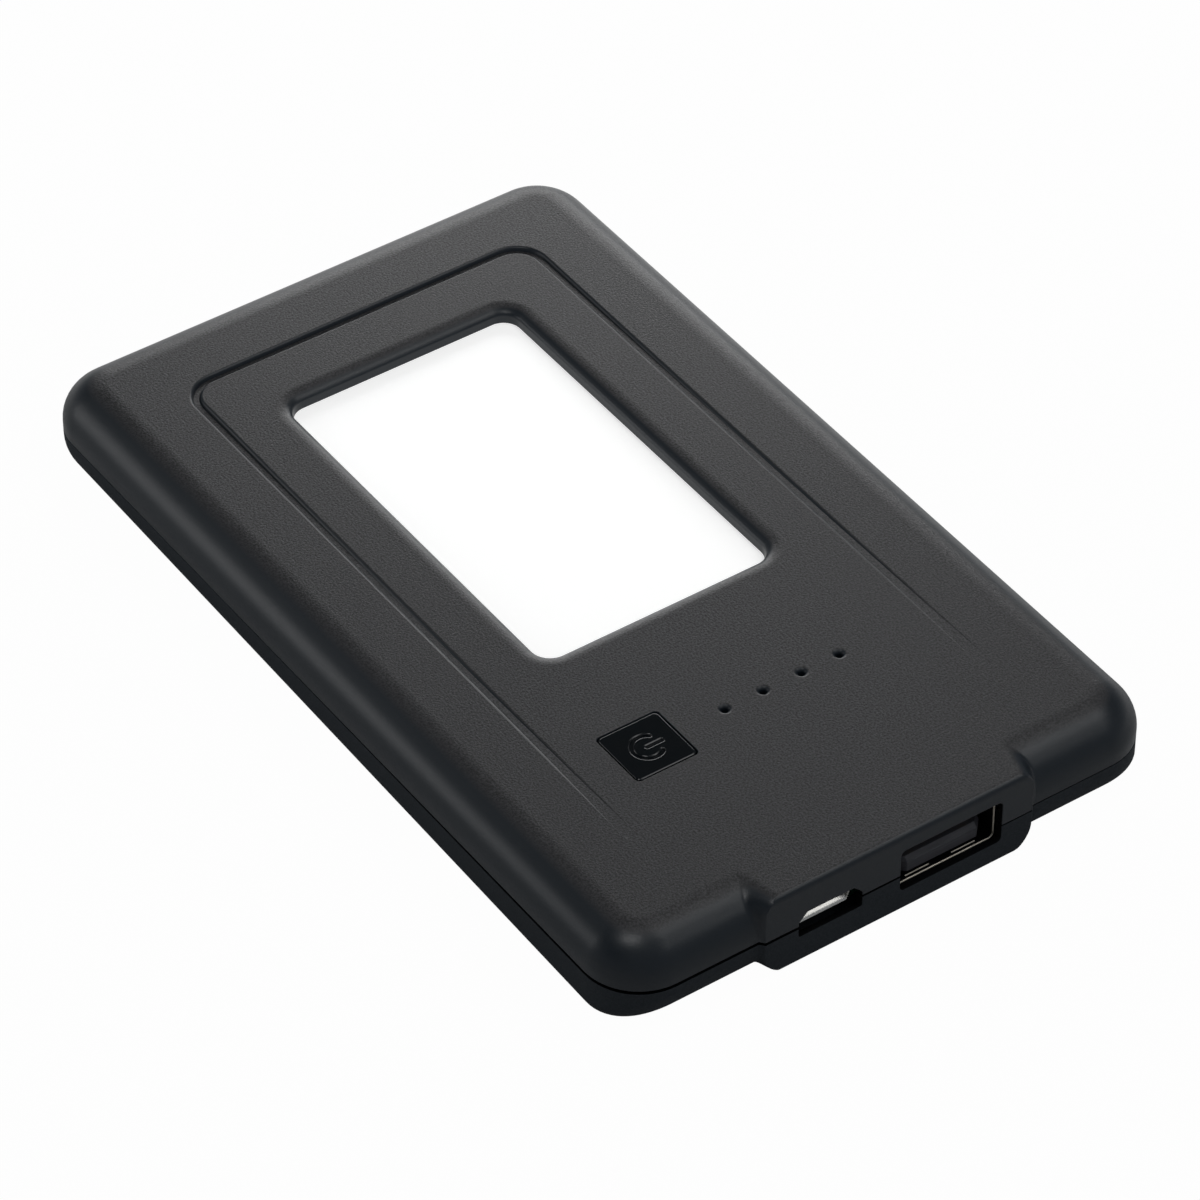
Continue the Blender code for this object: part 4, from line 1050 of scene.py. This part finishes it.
@dataclass
class UpperShell(Shell):
    """Upper shell with the window, the groove, the button hole, the light dimples and the ports."""

    window_lap: float = 2.45 * MM
    window_corner: float = 2.2 * MM
    bezel_run: float = 1.95 * MM
    bezel_drop: float = 1.0 * MM
    bezel_draft: float = 0.1 * MM
    skirt: float = 0.8 * MM
    skirt_gap: float = 0.02 * MM
    groove_half: float = 23.85 * MM
    groove_band: float = 1.65 * MM
    groove_depth: float = 0.5 * MM
    groove_least: float = 0.008 * MM
    groove_back: float = 11.08 * MM
    groove_front: float = 15.5 * MM
    groove_corner: float = 4.35 * MM
    groove_rim: float = 0.4 * MM
    groove_soften: float = 0.5 * MM
    groove_steepest: float = 62.0
    groove_lift: float = 0.004 * MM
    hole_half: float = 3.98 * MM
    hole_corner: float = 0.6 * MM
    hole_rim: float = 0.06 * MM
    dimple_radius: float = 0.38 * MM
    dimple_flare: float = 0.54 * MM
    dimples: int = 4
    frame_wall: float = 1.0 * MM
    strip_space: float = 3.6 * MM

    def build(self) -> list[bpy.types.Object]:
        """Make and dress the upper shell.

        Returns:
            The piece.
        """
        form = self.form
        shell = self.begin("upper_shell", form.upper_rings(), 0, TEXTURED_ABS)
        rebate = form.lip(form.lip_thickness + form.clearance, form.parting + form.lip_rise + form.clearance)
        steps = [(Join.CUT, rebate), (Join.CUT, form.hollow())]
        steps += [(Join.ADD, tool) for tool in (self.light_frame(), self.window_skirt())]
        cuts = [*Ports(form).tools(), self.window(), self.groove(), self.button_hole()]
        cuts += [self.dimple(number) for number in range(1, self.dimples + 1)]
        steps += [(Join.CUT, tool) for tool in cuts]
        return self.complete(shell, steps, TEXTURED_ABS, "top_cover")

    def window_plan(self) -> tuple[Trace, tuple[float, float]]:
        """Outline of the window's opening.

        Returns:
            The outline and its centre.
        """
        low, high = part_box("light_window")
        half_x = (high.x - low.x) / 2 - self.window_lap
        half_y = (high.y - low.y) / 2 - self.window_lap
        return outline(half_x, half_y, self.window_corner), ((low.x + high.x) / 2, (low.y + high.y) / 2)

    def window(self) -> bpy.types.Object:
        """Tool for the window's opening, whose bezel rounds outwards to the top face.

        Returns:
            The tool.
        """
        form = self.form
        section = [(0.0, LightWindow.face() - form.clearance)]
        section += [(self.bezel_draft + run, form.top - drop)
                    for run, drop in quarter(self.bezel_run, self.bezel_drop, EDGE_STEPS)]
        section.append((self.bezel_draft + self.bezel_run, form.top + form.flat_wall))
        return sweep("window_tool", *self.window_plan(), section)

    def window_skirt(self) -> bpy.types.Object:
        """Stepped skirt under the bezel: it presses on the window and reaches out to the rib round it.

        Returns:
            The tool.
        """
        high = self.form.rooted
        low = LightWindow.face() + self.skirt_gap
        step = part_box("light_window")[1].z + 2 * self.skirt_gap
        inside = -self.form.clearance
        outside = self.window_lap + self.form.clearance + self.frame_wall / 2
        section = ((inside, high), (inside, low), (self.skirt, low), (self.skirt, step), (outside, step),
                   (outside, high))
        return sweep("window_skirt_tool", *self.window_plan(), section, looped=True)

    def groove(self) -> bpy.types.Object:
        """Tool for the band round the window: deepest at the back, running out at the front.

        Returns:
            The tool.
        """
        form = self.form
        end = form.front + self.groove_front
        back = form.back - self.groove_back
        near = end - 2 * self.groove_band
        plan = outline(self.groove_half, (back - near) / 2, self.groove_corner, side=SIDE_STEPS * 2)
        mid_y = (back + near) / 2
        columns = []
        for place, way in plan:
            depth = self.groove_depth * (place.y + mid_y - end) / (back - end)
            shown = max(depth, self.groove_least)
            mouth = form.top + shown - depth
            columns.append([Vector((place.x - way.x * inward, place.y - way.y * inward + mid_y, mouth - down))
                            for inward, down in self.groove_section(shown)])
        return skin("groove_tool", list(zip(*columns)), looped=True)

    def groove_section(self, depth: float) -> list[tuple[float, float]]:
        """Section of the band: two walls that roll over into the top face, with a flat floor between them.

        Args:
            depth: Depth of the floor.

        Returns:
            Pairs of (distance inwards, distance down) from the outer mouth to the inner one.
        """
        rim = self.groove_rim + self.groove_soften * (1 - depth / self.groove_depth)
        turn = min(math.radians(self.groove_steepest), math.acos(max(1 - depth / rim, 0.0)))
        turns = [turn * step / FLANK_STEPS for step in range(FLANK_STEPS + 1)]
        near = [(rim * math.sin(a), rim * (1 - math.cos(a)) - self.groove_lift) for a in turns]
        left = depth - near[-1][1]
        near.append((near[-1][0] + left / math.tan(turn), depth))
        far = [(self.groove_band - inward, down) for inward, down in reversed(near)]
        return [(0.0, -self.form.flat_wall), *near, *far, (self.groove_band, -self.form.flat_wall)]

    def hole(self, name: str, plan: Trace, node: str, rim: float, steps: int) -> bpy.types.Object:
        """Tool for a hole through the top wall over a CAD node, with a round rim.

        Args:
            name: Name of the tool.
            plan: Outline of the hole.
            node: The CAD node.
            rim: Radius of the rim.
            steps: Divisions of the rim.

        Returns:
            The tool.
        """
        form = self.form
        section = [(0.0, form.ceiling - form.flat_wall / 2)]
        section += [(grow, form.top - depth) for grow, depth in quarter(rim, rim, steps)]
        section.append((rim, form.top + form.flat_wall))
        return sweep(name, plan, middle(node), section)

    def button_hole(self) -> bpy.types.Object:
        """Tool for the button's square hole, with a soft rim."""
        plan = outline(self.hole_half, self.hole_half, self.hole_corner)
        return self.hole("button_hole_tool", plan, "power_button", self.hole_rim, RIM_STEPS)

    def dimple(self, number: int) -> bpy.types.Object:
        """Tool for one light's hole with its soft flare.

        Args:
            number: Which light of the row.

        Returns:
            The tool.
        """
        plan = circle(self.dimple_radius, ROUND_STEPS // CORNERS)
        return self.hole(f"dimple_tool_{number}", plan, f"indicator_lamp_{number}", self.dimple_flare,
                         SMALL_STEPS)

    def light_frame(self) -> bpy.types.Object:
        """Rib under the top wall that holds the window's layers.

        Returns:
            The tool.
        """
        form = self.form
        low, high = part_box("light_window")
        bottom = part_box("reflector_sheet")[1].z
        half_x = (high.x - low.x) / 2 + form.clearance
        near, far = low.y - self.strip_space, high.y + form.clearance
        plan = outline(half_x, (far - near) / 2, self.frame_wall, RIB_STEPS)
        section = ((0.0, form.rooted), (0.0, bottom), (self.frame_wall, bottom),
                   (self.frame_wall, form.rooted))
        return sweep("light_frame_tool", plan, (0.0, (near + far) / 2), section, looped=True)


@dataclass
class LightWindow:
    """Opal pane under the bezel, sunk inside a raised border that locates the bezel's skirt."""

    corner: float = 2.2 * MM
    edge: float = 0.08 * MM
    border: float = 1.4 * MM
    sunk_share: float = 0.38

    @classmethod
    def face(cls) -> float:
        """Height of the pane's visible face, sunk below the top of its box."""
        low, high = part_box("light_window")
        return high.z - cls.sunk_share * (high.z - low.z)

    def build(self) -> list[bpy.types.Object]:
        """Make and dress the pane.

        Returns:
            The piece.
        """
        low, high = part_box("light_window")
        plan = outline((high.x - low.x) / 2, (high.y - low.y) / 2, self.corner, PANE_STEPS)
        section = ((-self.edge, low.z), (0.0, low.z + self.edge), (0.0, high.z - self.edge),
                   (-self.edge, high.z), (-self.border, high.z), (-self.border - self.edge, self.face()))
        pane = sweep("opal_pane", plan, (low + high) / 2, section)
        smooth(pane)
        return [seat(pane, "case", "diffuser", OPAL_ACRYLIC, "light_window")]


@dataclass
class LowerShell(Shell):
    """Lower shell with its lip, screw bosses, board posts and battery ribs."""

    boss_radius: float = 2.6 * MM
    pilot_radius: float = 1.1 * MM
    post_size: float = 3.0 * MM
    post_edge: tuple[float, float] = (6.0 * MM, 4.5 * MM)
    rib_width: float = 1.0 * MM
    rib_height: float = 3.0 * MM
    rib_inset: float = 8.0 * MM

    def build(self) -> list[bpy.types.Object]:
        """Make and dress the lower shell.

        Returns:
            The piece.
        """
        form = self.form
        rings = form.lower_rings()
        shell = self.begin("lower_shell", rings, len(rings) - 2, FINE_ABS)
        steps = [(Join.ADD, form.lip(form.lip_thickness, form.parting + form.lip_rise))]
        steps += [(Join.CUT, tool) for tool in (form.hollow(), *Ports(form).tools())]
        return self.complete(shell, steps + self.supports(), FINE_ABS, "bottom_cover")

    def supports(self) -> list[tuple[Join, bpy.types.Object]]:
        """Tools for what carries the board and the cell.

        Returns:
            What each tool does, in order.
        """
        form = self.form
        board_low, board_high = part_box("main_board")
        cell_low, cell_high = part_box("battery_cell")
        sunk = form.flat_wall / 2
        rest = board_low.z - form.clearance
        steps = []
        for side, sign in (("left", -1), ("right", 1)):
            screw = middle(f"board_screw_{side}")
            for join, radius, low, high in ((Join.ADD, self.boss_radius, sunk, rest),
                                            (Join.CUT, self.pilot_radius, form.flat_wall, board_high.z)):
                tool = sweep(f"{join.value.lower()}_{side}", circle(radius, SMALL_STEPS), screw,
                             ((0.0, low), (0.0, high)))
                steps.append((join, tool))
            x, y = sign * (board_high.x - self.post_edge[0]), board_low.y + self.post_edge[1]
            half = self.post_size / 2
            post = block(f"post_{side}", (x - half, y - half, sunk), (x + half, y + half, rest))
            x = sign * (cell_high.x + form.clearance + self.rib_width / 2)
            half = self.rib_width / 2
            rib = block(f"rib_{side}", (x - half, cell_low.y + self.rib_inset, sunk),
                        (x + half, cell_high.y - self.rib_inset, form.flat_wall + self.rib_height))
            steps += [(Join.ADD, post), (Join.ADD, rib)]
        return steps


@dataclass
class PowerButton:
    """Polished square cap with the power sign cut into it, on a flange and a stem."""

    half: float = 3.81 * MM
    corner: float = 0.5 * MM
    edge: float = 0.17 * MM
    edge_steps: int = 6
    sharp_degrees: float = 28.0
    stem_half: float = 1.2 * MM
    flange_height: float = 0.5 * MM
    wall: float = 1.5 * MM
    sign_at: tuple[float, float] = (-0.03 * MM, -0.08 * MM)
    sign_radius: float = 1.72 * MM
    sign_stroke: float = 0.36 * MM
    sign_gap_degrees: float = 97.0
    sign_bar: tuple[float, float] = (-0.2 * MM, 2.05 * MM)
    sign_depth: float = 0.22 * MM
    sign_rim: float = 0.22 * MM
    sign_draft: float = 0.03 * MM

    def build(self) -> list[bpy.types.Object]:
        """Make and dress the cap.

        Returns:
            The piece.
        """
        low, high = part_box("power_button")
        centre = middle("power_button")
        flange = (high.x - low.x) / 2
        flange_top = high.z - self.wall
        flange_low = flange_top - self.flange_height
        section = [(self.stem_half, low.z), (self.stem_half, flange_low), (flange, flange_low),
                   (flange, flange_top), (self.half, flange_top)]
        section += [(self.half - inset, high.z - drop)
                    for inset, drop in quarter(self.edge, self.edge, self.edge_steps)]
        cap = skin("button_cap", [level(outline(half, half, self.corner, SMALL_STEPS), 0.0, z, centre)
                                  for half, z in section])
        work_over(cap, [(Join.CUT, tool) for tool in self.sign(centre, high.z)])
        smooth(cap, self.sharp_degrees)
        return [seat(cap, "button", "button", POLISHED_ABS, "power_button")]

    def sign(self, centre: Vector, top: float) -> list[bpy.types.Object]:
        """Tools for the sign's bar and its ring, which is open towards +X.

        Args:
            centre: Middle of the cap.
            top: Height of its face.

        Returns:
            The two tools.
        """
        gap = math.radians(self.sign_gap_degrees) / 2
        turns = [gap + (2 * math.pi - 2 * gap) * i / ROUND_STEPS for i in range(ROUND_STEPS + 1)]
        ring = [Vector((self.sign_radius * math.cos(a), self.sign_radius * math.sin(a))) for a in turns]
        half = self.sign_stroke / 2
        bar = [Vector((x, 0.0)) for x in (self.sign_bar[0] + half, self.sign_bar[1] - half)]
        section = [(half - self.sign_draft, self.sign_depth)]
        section += [(half + grow, depth)
                    for grow, depth in quarter(self.sign_rim, self.sign_rim, 2 * RIM_STEPS)]
        section.append((half + self.sign_rim, -self.sign_depth))
        tools = []
        for name, path in (("sign_ring_tool", ring), ("sign_bar_tool", bar)):
            rings = []
            for wide, depth in section:
                rings.append([Vector((p.x + centre.x + self.sign_at[0], p.y + centre.y + self.sign_at[1],
                                      top - depth)) for p in stroke(path, wide)])
            tools.append(skin(name, rings))
        return tools


class SteelFace(IntEnum):
    """Material slots of the wide socket's shell."""

    PLATED = 0
    # Dark steel as painted shade on the inner faces deep in the shell
    PAINTED_SHADE = 1
    SHEARED_AND_SHADE = 2


@dataclass
class OutputSocket:
    """Plated steel shell of the wide socket, with two springs in its floor and its ears on the board."""

    half: tuple[float, float] = (6.4 * MM, 2.7 * MM)
    corner: float = 0.6 * MM
    sheet: float = 0.3 * MM
    reach: float = 0.15 * MM
    # How far behind the mouth the inner faces take the painted shade
    painted_shade_from: float = 0.8 * MM
    along_facing: float = 0.01
    ear: tuple[float, float] = (1.4 * MM, 4.0 * MM)
    spring_half: float = 1.55 * MM
    spring_spacing: float = 6.05 * MM
    spring_shift: float = -0.25 * MM
    spring_setback: float = 0.45 * MM
    spring_bend: float = 0.11 * MM
    spring_root: float = 0.2
    spring_length: float = 5.0 * MM

    def build(self) -> list[bpy.types.Object]:
        """Make and dress the shell.

        Returns:
            The piece.
        """
        low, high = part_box("usb_a_shell")
        low.y -= self.reach
        centre = ((low.x + high.x) / 2, (low.z + high.z) / 2)
        plan = outline(*self.half, self.corner, SMALL_STEPS)
        half_sheet = self.sheet / 2
        rings = [upright(plan, half_sheet, high.y, centre)]
        for step in range(2 * RIM_STEPS + 1):
            turn = math.pi * step / (2 * RIM_STEPS)
            rings.append(upright(plan, half_sheet * math.cos(turn),
                                 low.y + half_sheet * (1 - math.sin(turn)), centre))
        rings.append(upright(plan, -half_sheet, high.y - self.sheet, centre))
        shell = skin("output_shell", rings)
        steps = [(Join.ADD, self.spring(side, low, centre)) for side in (-1, 1)]
        steps += [(Join.ADD, self.ear_tab(side, high, centre)) for side in (-1, 1)]
        work_over(shell, steps)
        smooth(shell)
        # Slots: plated steel, the dark steel of painted shade, and the sheared steel, which also dims glints
        # as painted shade
        for finish in (PLATED_STEEL, PAINTED_SHADE_STEEL, SHEARED_AND_SHADE_STEEL):
            shell.data.materials.append(finish.material())
        # Painted shade: inner faces deep in the shell, and inner walls that run along it, take the dark steel
        for face in shell.data.polygons:
            out = (face.center.x - centre[0]) * face.normal.x + (face.center.z - centre[1]) * face.normal.z
            drawn = face.center.y > low.y + self.painted_shade_from or abs(face.normal.y) < self.along_facing
            if drawn and out <= 0:
                face.material_index = SteelFace.PAINTED_SHADE
            elif face.center.y < low.y + half_sheet or out <= 0:
                face.material_index = SteelFace.SHEARED_AND_SHADE
        return [seat(shell, "case", "socket_steel", PLATED_STEEL, "usb_a_shell")]

    def spring(self, side: int, low: Vector, centre: tuple[float, float]) -> bpy.types.Object:
        """Tool for one floor spring with a rounded front bend.

        Args:
            side: -1 for the left one, 1 for the right one.
            low: Lowest corner of the shell.
            centre: Middle of the shell, as X and Z.

        Returns:
            The tool.
        """
        floor = low.z + self.sheet
        start = low.y + self.spring_setback
        bend = self.spring_bend
        side_view = [(start + run, floor - bend * self.spring_root + bend - drop)
                     for run, drop in quarter(bend, bend, SMALL_STEPS)]
        rise = side_view[-1][1]
        fall = rise - floor + self.sheet / 3
        for step in range(1, SMALL_STEPS + 1):
            share = step / SMALL_STEPS
            side_view.append((start + bend + (self.spring_length - bend) * share, rise - fall * ease(share)))
        under = floor - self.sheet / 2
        side_view += [(start + self.spring_length, under), (start, under)]
        x = centre[0] + self.spring_shift + side * self.spring_spacing / 2
        return skin(f"spring_{side}", [[Vector((x + at, y, z)) for y, z in side_view]
                                       for at in (-self.spring_half, self.spring_half)])

    def ear_tab(self, side: int, high: Vector, centre: tuple[float, float]) -> bpy.types.Object:
        """Tool for one ear that lies on the board.

        Args:
            side: -1 for the left one, 1 for the right one.
            high: Highest corner of the shell with its ears.
            centre: Middle of the shell, as X and Z.

        Returns:
            The tool.
        """
        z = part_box("main_board")[1].z + self.sheet
        wall = self.half[0]
        reach = [centre[0] + side * wall, centre[0] + side * (wall + self.sheet / 2 + self.ear[0])]
        y = high.y - self.ear[1]
        return block(f"ear_{side}", (min(reach), y - self.ear[1] / 2, z),
                     (max(reach), y + self.ear[1] / 2, z + self.sheet))


@dataclass
class InputSocket:
    """Plated steel shell of the small socket, with a mouth that flares to lead the plug in."""

    half: tuple[float, float] = (3.6 * MM, 0.87 * MM)
    lift: float = 0.28 * MM
    chamfer: float = 1.05 * MM
    corner: float = 0.45 * MM
    sheet: float = 0.3 * MM
    setback: float = 0.43 * MM
    lip_run: float = 0.75 * MM
    lip_flare: float = 0.68 * MM
    lip_bend: float = 1.06
    upper_share: float = 0.3

    def build(self) -> list[bpy.types.Object]:
        """Make and dress the shell.

        Returns:
            The piece.
        """
        low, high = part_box("micro_usb_shell")
        mouth = low.y + self.setback
        half_sheet = self.sheet / 2
        shares = [i / RIM_STEPS for i in range(RIM_STEPS + 1)]
        lip = [(mouth + self.lip_run * (1 - share), self.lip_flare * share ** self.lip_bend)
               for share in shares]
        rings = [self.ring(half_sheet, 0.0, high.y)]
        rings += [self.ring(half_sheet, flare, y) for y, flare in lip]
        rings.append(self.ring(0.0, self.lip_flare, mouth - half_sheet / 2))
        rings += [self.ring(-half_sheet, flare, y) for y, flare in reversed(lip)]
        rings.append(self.ring(-half_sheet, 0.0, high.y - self.sheet))
        shell = skin("input_shell", rings)
        smooth(shell)
        return [seat(shell, "case", "socket_steel", PLATED_STEEL, "micro_usb_shell")]

    def ring(self, grow: float, flare: float, y: float) -> list[Vector]:
        """One ring of the shell, opened upwards and downwards by a flare.

        Args:
            grow: How far the ring is outside the sheet's middle.
            flare: How far the lips above and below are bent out.
            y: Where the ring is.

        Returns:
            Points in space.
        """
        place = middle("micro_usb_shell")
        points = []
        for p, way in chamfered(*self.half, self.chamfer, self.corner):
            up = grow + flare * way.y * way.y * (self.upper_share if way.y > 0 else 1.0)
            points.append(Vector((place.x + p.x + way.x * grow, y, place.z + self.lift + p.y + way.y * up)))
        return points


@dataclass
class InnerWorks:
    """The CAD pieces that keep their own shape: window layers, tongues, contacts, board, cell and switch."""

    eased: float = 0.06 * MM
    eased_degrees: float = 40.0
    eased_segments: int = 2
    replaced: tuple[str, ...] = ("case", "button", "socket_steel", "diffuser")

    def build(self) -> list[bpy.types.Object]:
        """Dress each kept node by its material slot and ease its edges.

        Returns:
            The pieces.
        """
        pieces = []
        for row in frame["record"]["subparts"]:
            slot = row["material_slot"]
            if slot in self.replaced:
                continue
            piece = frame["nodes"][row["node"]]
            for place in piece.material_slots:
                place.material = FINISH_OF_SLOT[slot].material()
            self.ease_edges(piece)
            pieces.append(piece)
        return pieces

    def ease_edges(self, piece: bpy.types.Object) -> None:
        """Round a piece's sharp edges a little, as moulding and stamping leave them.

        Args:
            piece: Object to round.
        """
        bevel = piece.modifiers.new("eased_edges", "BEVEL")
        bevel.width = self.eased
        bevel.segments = self.eased_segments
        bevel.limit_method = "ANGLE"
        bevel.angle_limit = math.radians(self.eased_degrees)


@dataclass(frozen=True)
class SoftLight:
    """A flat soft light that faces the case: a softbox or a white card."""

    name: str
    at: tuple[float, float, float]
    size: tuple[float, float]
    power: float

    def hang(self) -> None:
        """Hang the light and turn it to the case."""
        lamp = bpy.data.lights.new(self.name, "AREA")
        lamp.shape = "RECTANGLE"
        lamp.size, lamp.size_y = self.size
        lamp.energy = self.power
        item = bpy.data.objects.new(self.name, lamp)
        item.location = self.at
        item.rotation_euler = (-Vector(self.at)).to_track_quat("-Z", "Y").to_euler()
        item.visible_camera = False
        bpy.context.scene.collection.objects.link(item)


# The main softbox stands low behind the right corner; white cards give the other edges their glints
SOFT_LIGHTS = (
    SoftLight("back_softbox", (0.145, 0.205, 0.09), (0.21, 0.10), 0.28),
    SoftLight("front_card", (0.15, -0.11, 0.31), (0.14, 0.18), 0.22),
    SoftLight("overhead_card", (0.14, 0.05, 0.30), (0.12, 0.10), 0.06),
    SoftLight("left_card", (-0.20, 0.16, 0.075), (0.16, 0.10), 0.095),
    SoftLight("high_card", (-0.14, 0.20, 0.22), (0.10, 0.10), 0.02),
    SoftLight("corner_card", (-0.105, -0.065, 0.31), (0.10, 0.10), 0.20),
    SoftLight("port_card", (0.131, -0.25, 0.23), (0.09, 0.09), 0.05),
)


@dataclass
class Studio:
    """White floor, soft lights and the camera of the photograph."""

    floor_size: float = 6.0
    floor_drop: float = 0.02 * MM
    floor_colour: str = "#c8c8c8"
    white_share: float = 0.98
    mirror_back: float = 0.95
    mirror_front: float = 0.0
    mirror_way: tuple[float, float, float] = (0.8, 0.6, 0.0)
    mirror_from: float = 0.015
    mirror_full: float = 0.07
    camera_at: tuple[float, float, float] = (-276.42 * MM, -399.63 * MM, 440.39 * MM)
    camera_to: tuple[float, float, float] = (-1.14 * MM, -4.39 * MM, 5.0 * MM)
    lens_mm: float = 178.76
    clip_start: float = 10.0 * MM
    sky_colour: str = "#eef3fb"
    sky_band: tuple[float, float] = (0.22, 0.50)
    sky_low: float = 0.30
    sky_dark: float = 0.06
    sky_ahead: tuple[float, float] = (-0.1, -0.5)
    sky_front: float = 0.26

    def build(self) -> None:
        """Set the stage."""
        self.lay_floor()
        self.light_sky()
        for light in SOFT_LIGHTS:
            light.hang()
        self.place_camera()
        bpy.context.scene.view_settings.view_transform = "Standard"

    def lay_floor(self) -> None:
        """Lay a pale floor, white to the camera and in the back edges' reflections, with a faint shadow."""
        half = self.floor_size / 2
        mesh = bpy.data.meshes.new("floor")
        plan = ((-half, -half), (half, -half), (half, half), (-half, half))
        mesh.from_pydata([(x, y, -self.floor_drop) for x, y in plan], [], [tuple(range(len(plan)))])
        floor = bpy.data.objects.new("floor", mesh)
        bpy.context.scene.collection.objects.link(floor)
        material = bpy.data.materials.new("matt_white_floor")
        material.use_nodes = True
        tree = material.node_tree
        tree.nodes.clear()
        path = add_node(tree, "ShaderNodeLightPath")
        seen = add_node(tree, "ShaderNodeMath",
                        {0: path.outputs["Is Camera Ray"], 1: path.outputs["Is Transmission Ray"]},
                        operation="MAXIMUM")
        direct = add_node(tree, "ShaderNodeMath", {0: seen.outputs[0], 1: self.white_share},
                          operation="MULTIPLY")
        place = add_node(tree, "ShaderNodeNewGeometry")
        away = add_node(tree, "ShaderNodeVectorMath", {0: place.outputs["Position"], 1: self.mirror_way},
                        operation="DOT_PRODUCT")
        bright = add_node(tree, "ShaderNodeMapRange",
                          {"Value": away.outputs["Value"],
                           "From Min": self.mirror_from, "From Max": self.mirror_full,
                           "To Min": self.mirror_front, "To Max": self.mirror_back})
        share = add_node(tree, "ShaderNodeMath",
                         {0: path.outputs["Is Glossy Ray"], 1: bright.outputs["Result"],
                          2: direct.outputs[0]}, operation="MULTIPLY_ADD")
        pale = add_node(tree, "ShaderNodeBsdfDiffuse", {"Color": linear(self.floor_colour)})
        white = add_node(tree, "ShaderNodeEmission", {"Color": linear(WHITE), "Strength": 1.0})
        mix = add_node(tree, "ShaderNodeMixShader",
                       {0: share.outputs[0], 1: pale.outputs[0], 2: white.outputs[0]})
        add_node(tree, "ShaderNodeOutputMaterial", {"Surface": mix.outputs[0]})
        mesh.materials.append(material)

    def light_sky(self) -> None:
        """Light the room: bright near the horizon and in front, dark above and behind."""
        world = bpy.data.worlds.new("studio_room")
        bpy.context.scene.world = world
        world.use_nodes = True
        tree = world.node_tree
        tree.nodes.clear()
        place = add_node(tree, "ShaderNodeTexCoord")
        way = add_node(tree, "ShaderNodeSeparateXYZ", {"Vector": place.outputs["Generated"]})
        low = add_node(tree, "ShaderNodeMapRange",
                       {"Value": way.outputs["Z"], "From Min": self.sky_band[0], "From Max": self.sky_band[1],
                        "To Min": self.sky_low, "To Max": self.sky_dark}, interpolation_type="SMOOTHSTEP")
        front = add_node(tree, "ShaderNodeMapRange",
                         {"Value": way.outputs["Y"], "From Min": self.sky_ahead[0],
                          "From Max": self.sky_ahead[1], "To Min": 0.0, "To Max": self.sky_front},
                         interpolation_type="SMOOTHSTEP")
        strength = add_node(tree, "ShaderNodeMath", {0: low.outputs[0], 1: front.outputs[0]},
                            operation="MAXIMUM")
        glow = add_node(tree, "ShaderNodeBackground",
                        {"Color": linear(self.sky_colour), "Strength": strength.outputs[0]})
        add_node(tree, "ShaderNodeOutputWorld", {"Surface": glow.outputs[0]})

    def place_camera(self) -> None:
        """Stand the camera where the photograph was taken from."""
        data = bpy.data.cameras.new("camera")
        data.lens = self.lens_mm
        data.clip_start = self.clip_start
        camera = bpy.data.objects.new("camera", data)
        camera.location = self.camera_at
        look = Vector(self.camera_to) - Vector(self.camera_at)
        camera.rotation_euler = look.to_track_quat("-Z", "Y").to_euler()
        bpy.context.scene.collection.objects.link(camera)
        bpy.context.scene.camera = camera


def main() -> None:
    """Build the power bank's pieces in order, then the studio."""
    logging.basicConfig(level=logging.INFO, format="%(name)s: %(message)s")
    form = CaseForm.from_frame()
    assemblies = (UpperShell(form), LightWindow(), LowerShell(form), PowerButton(), OutputSocket(),
                  InputSocket(), InnerWorks())
    for assembly in assemblies:
        for piece in assembly.build():
            LOG.info("%s: %s, %d faces", type(assembly).__name__, piece.name, len(piece.data.polygons))
    Studio().build()


if __name__ == "__main__":
    main()
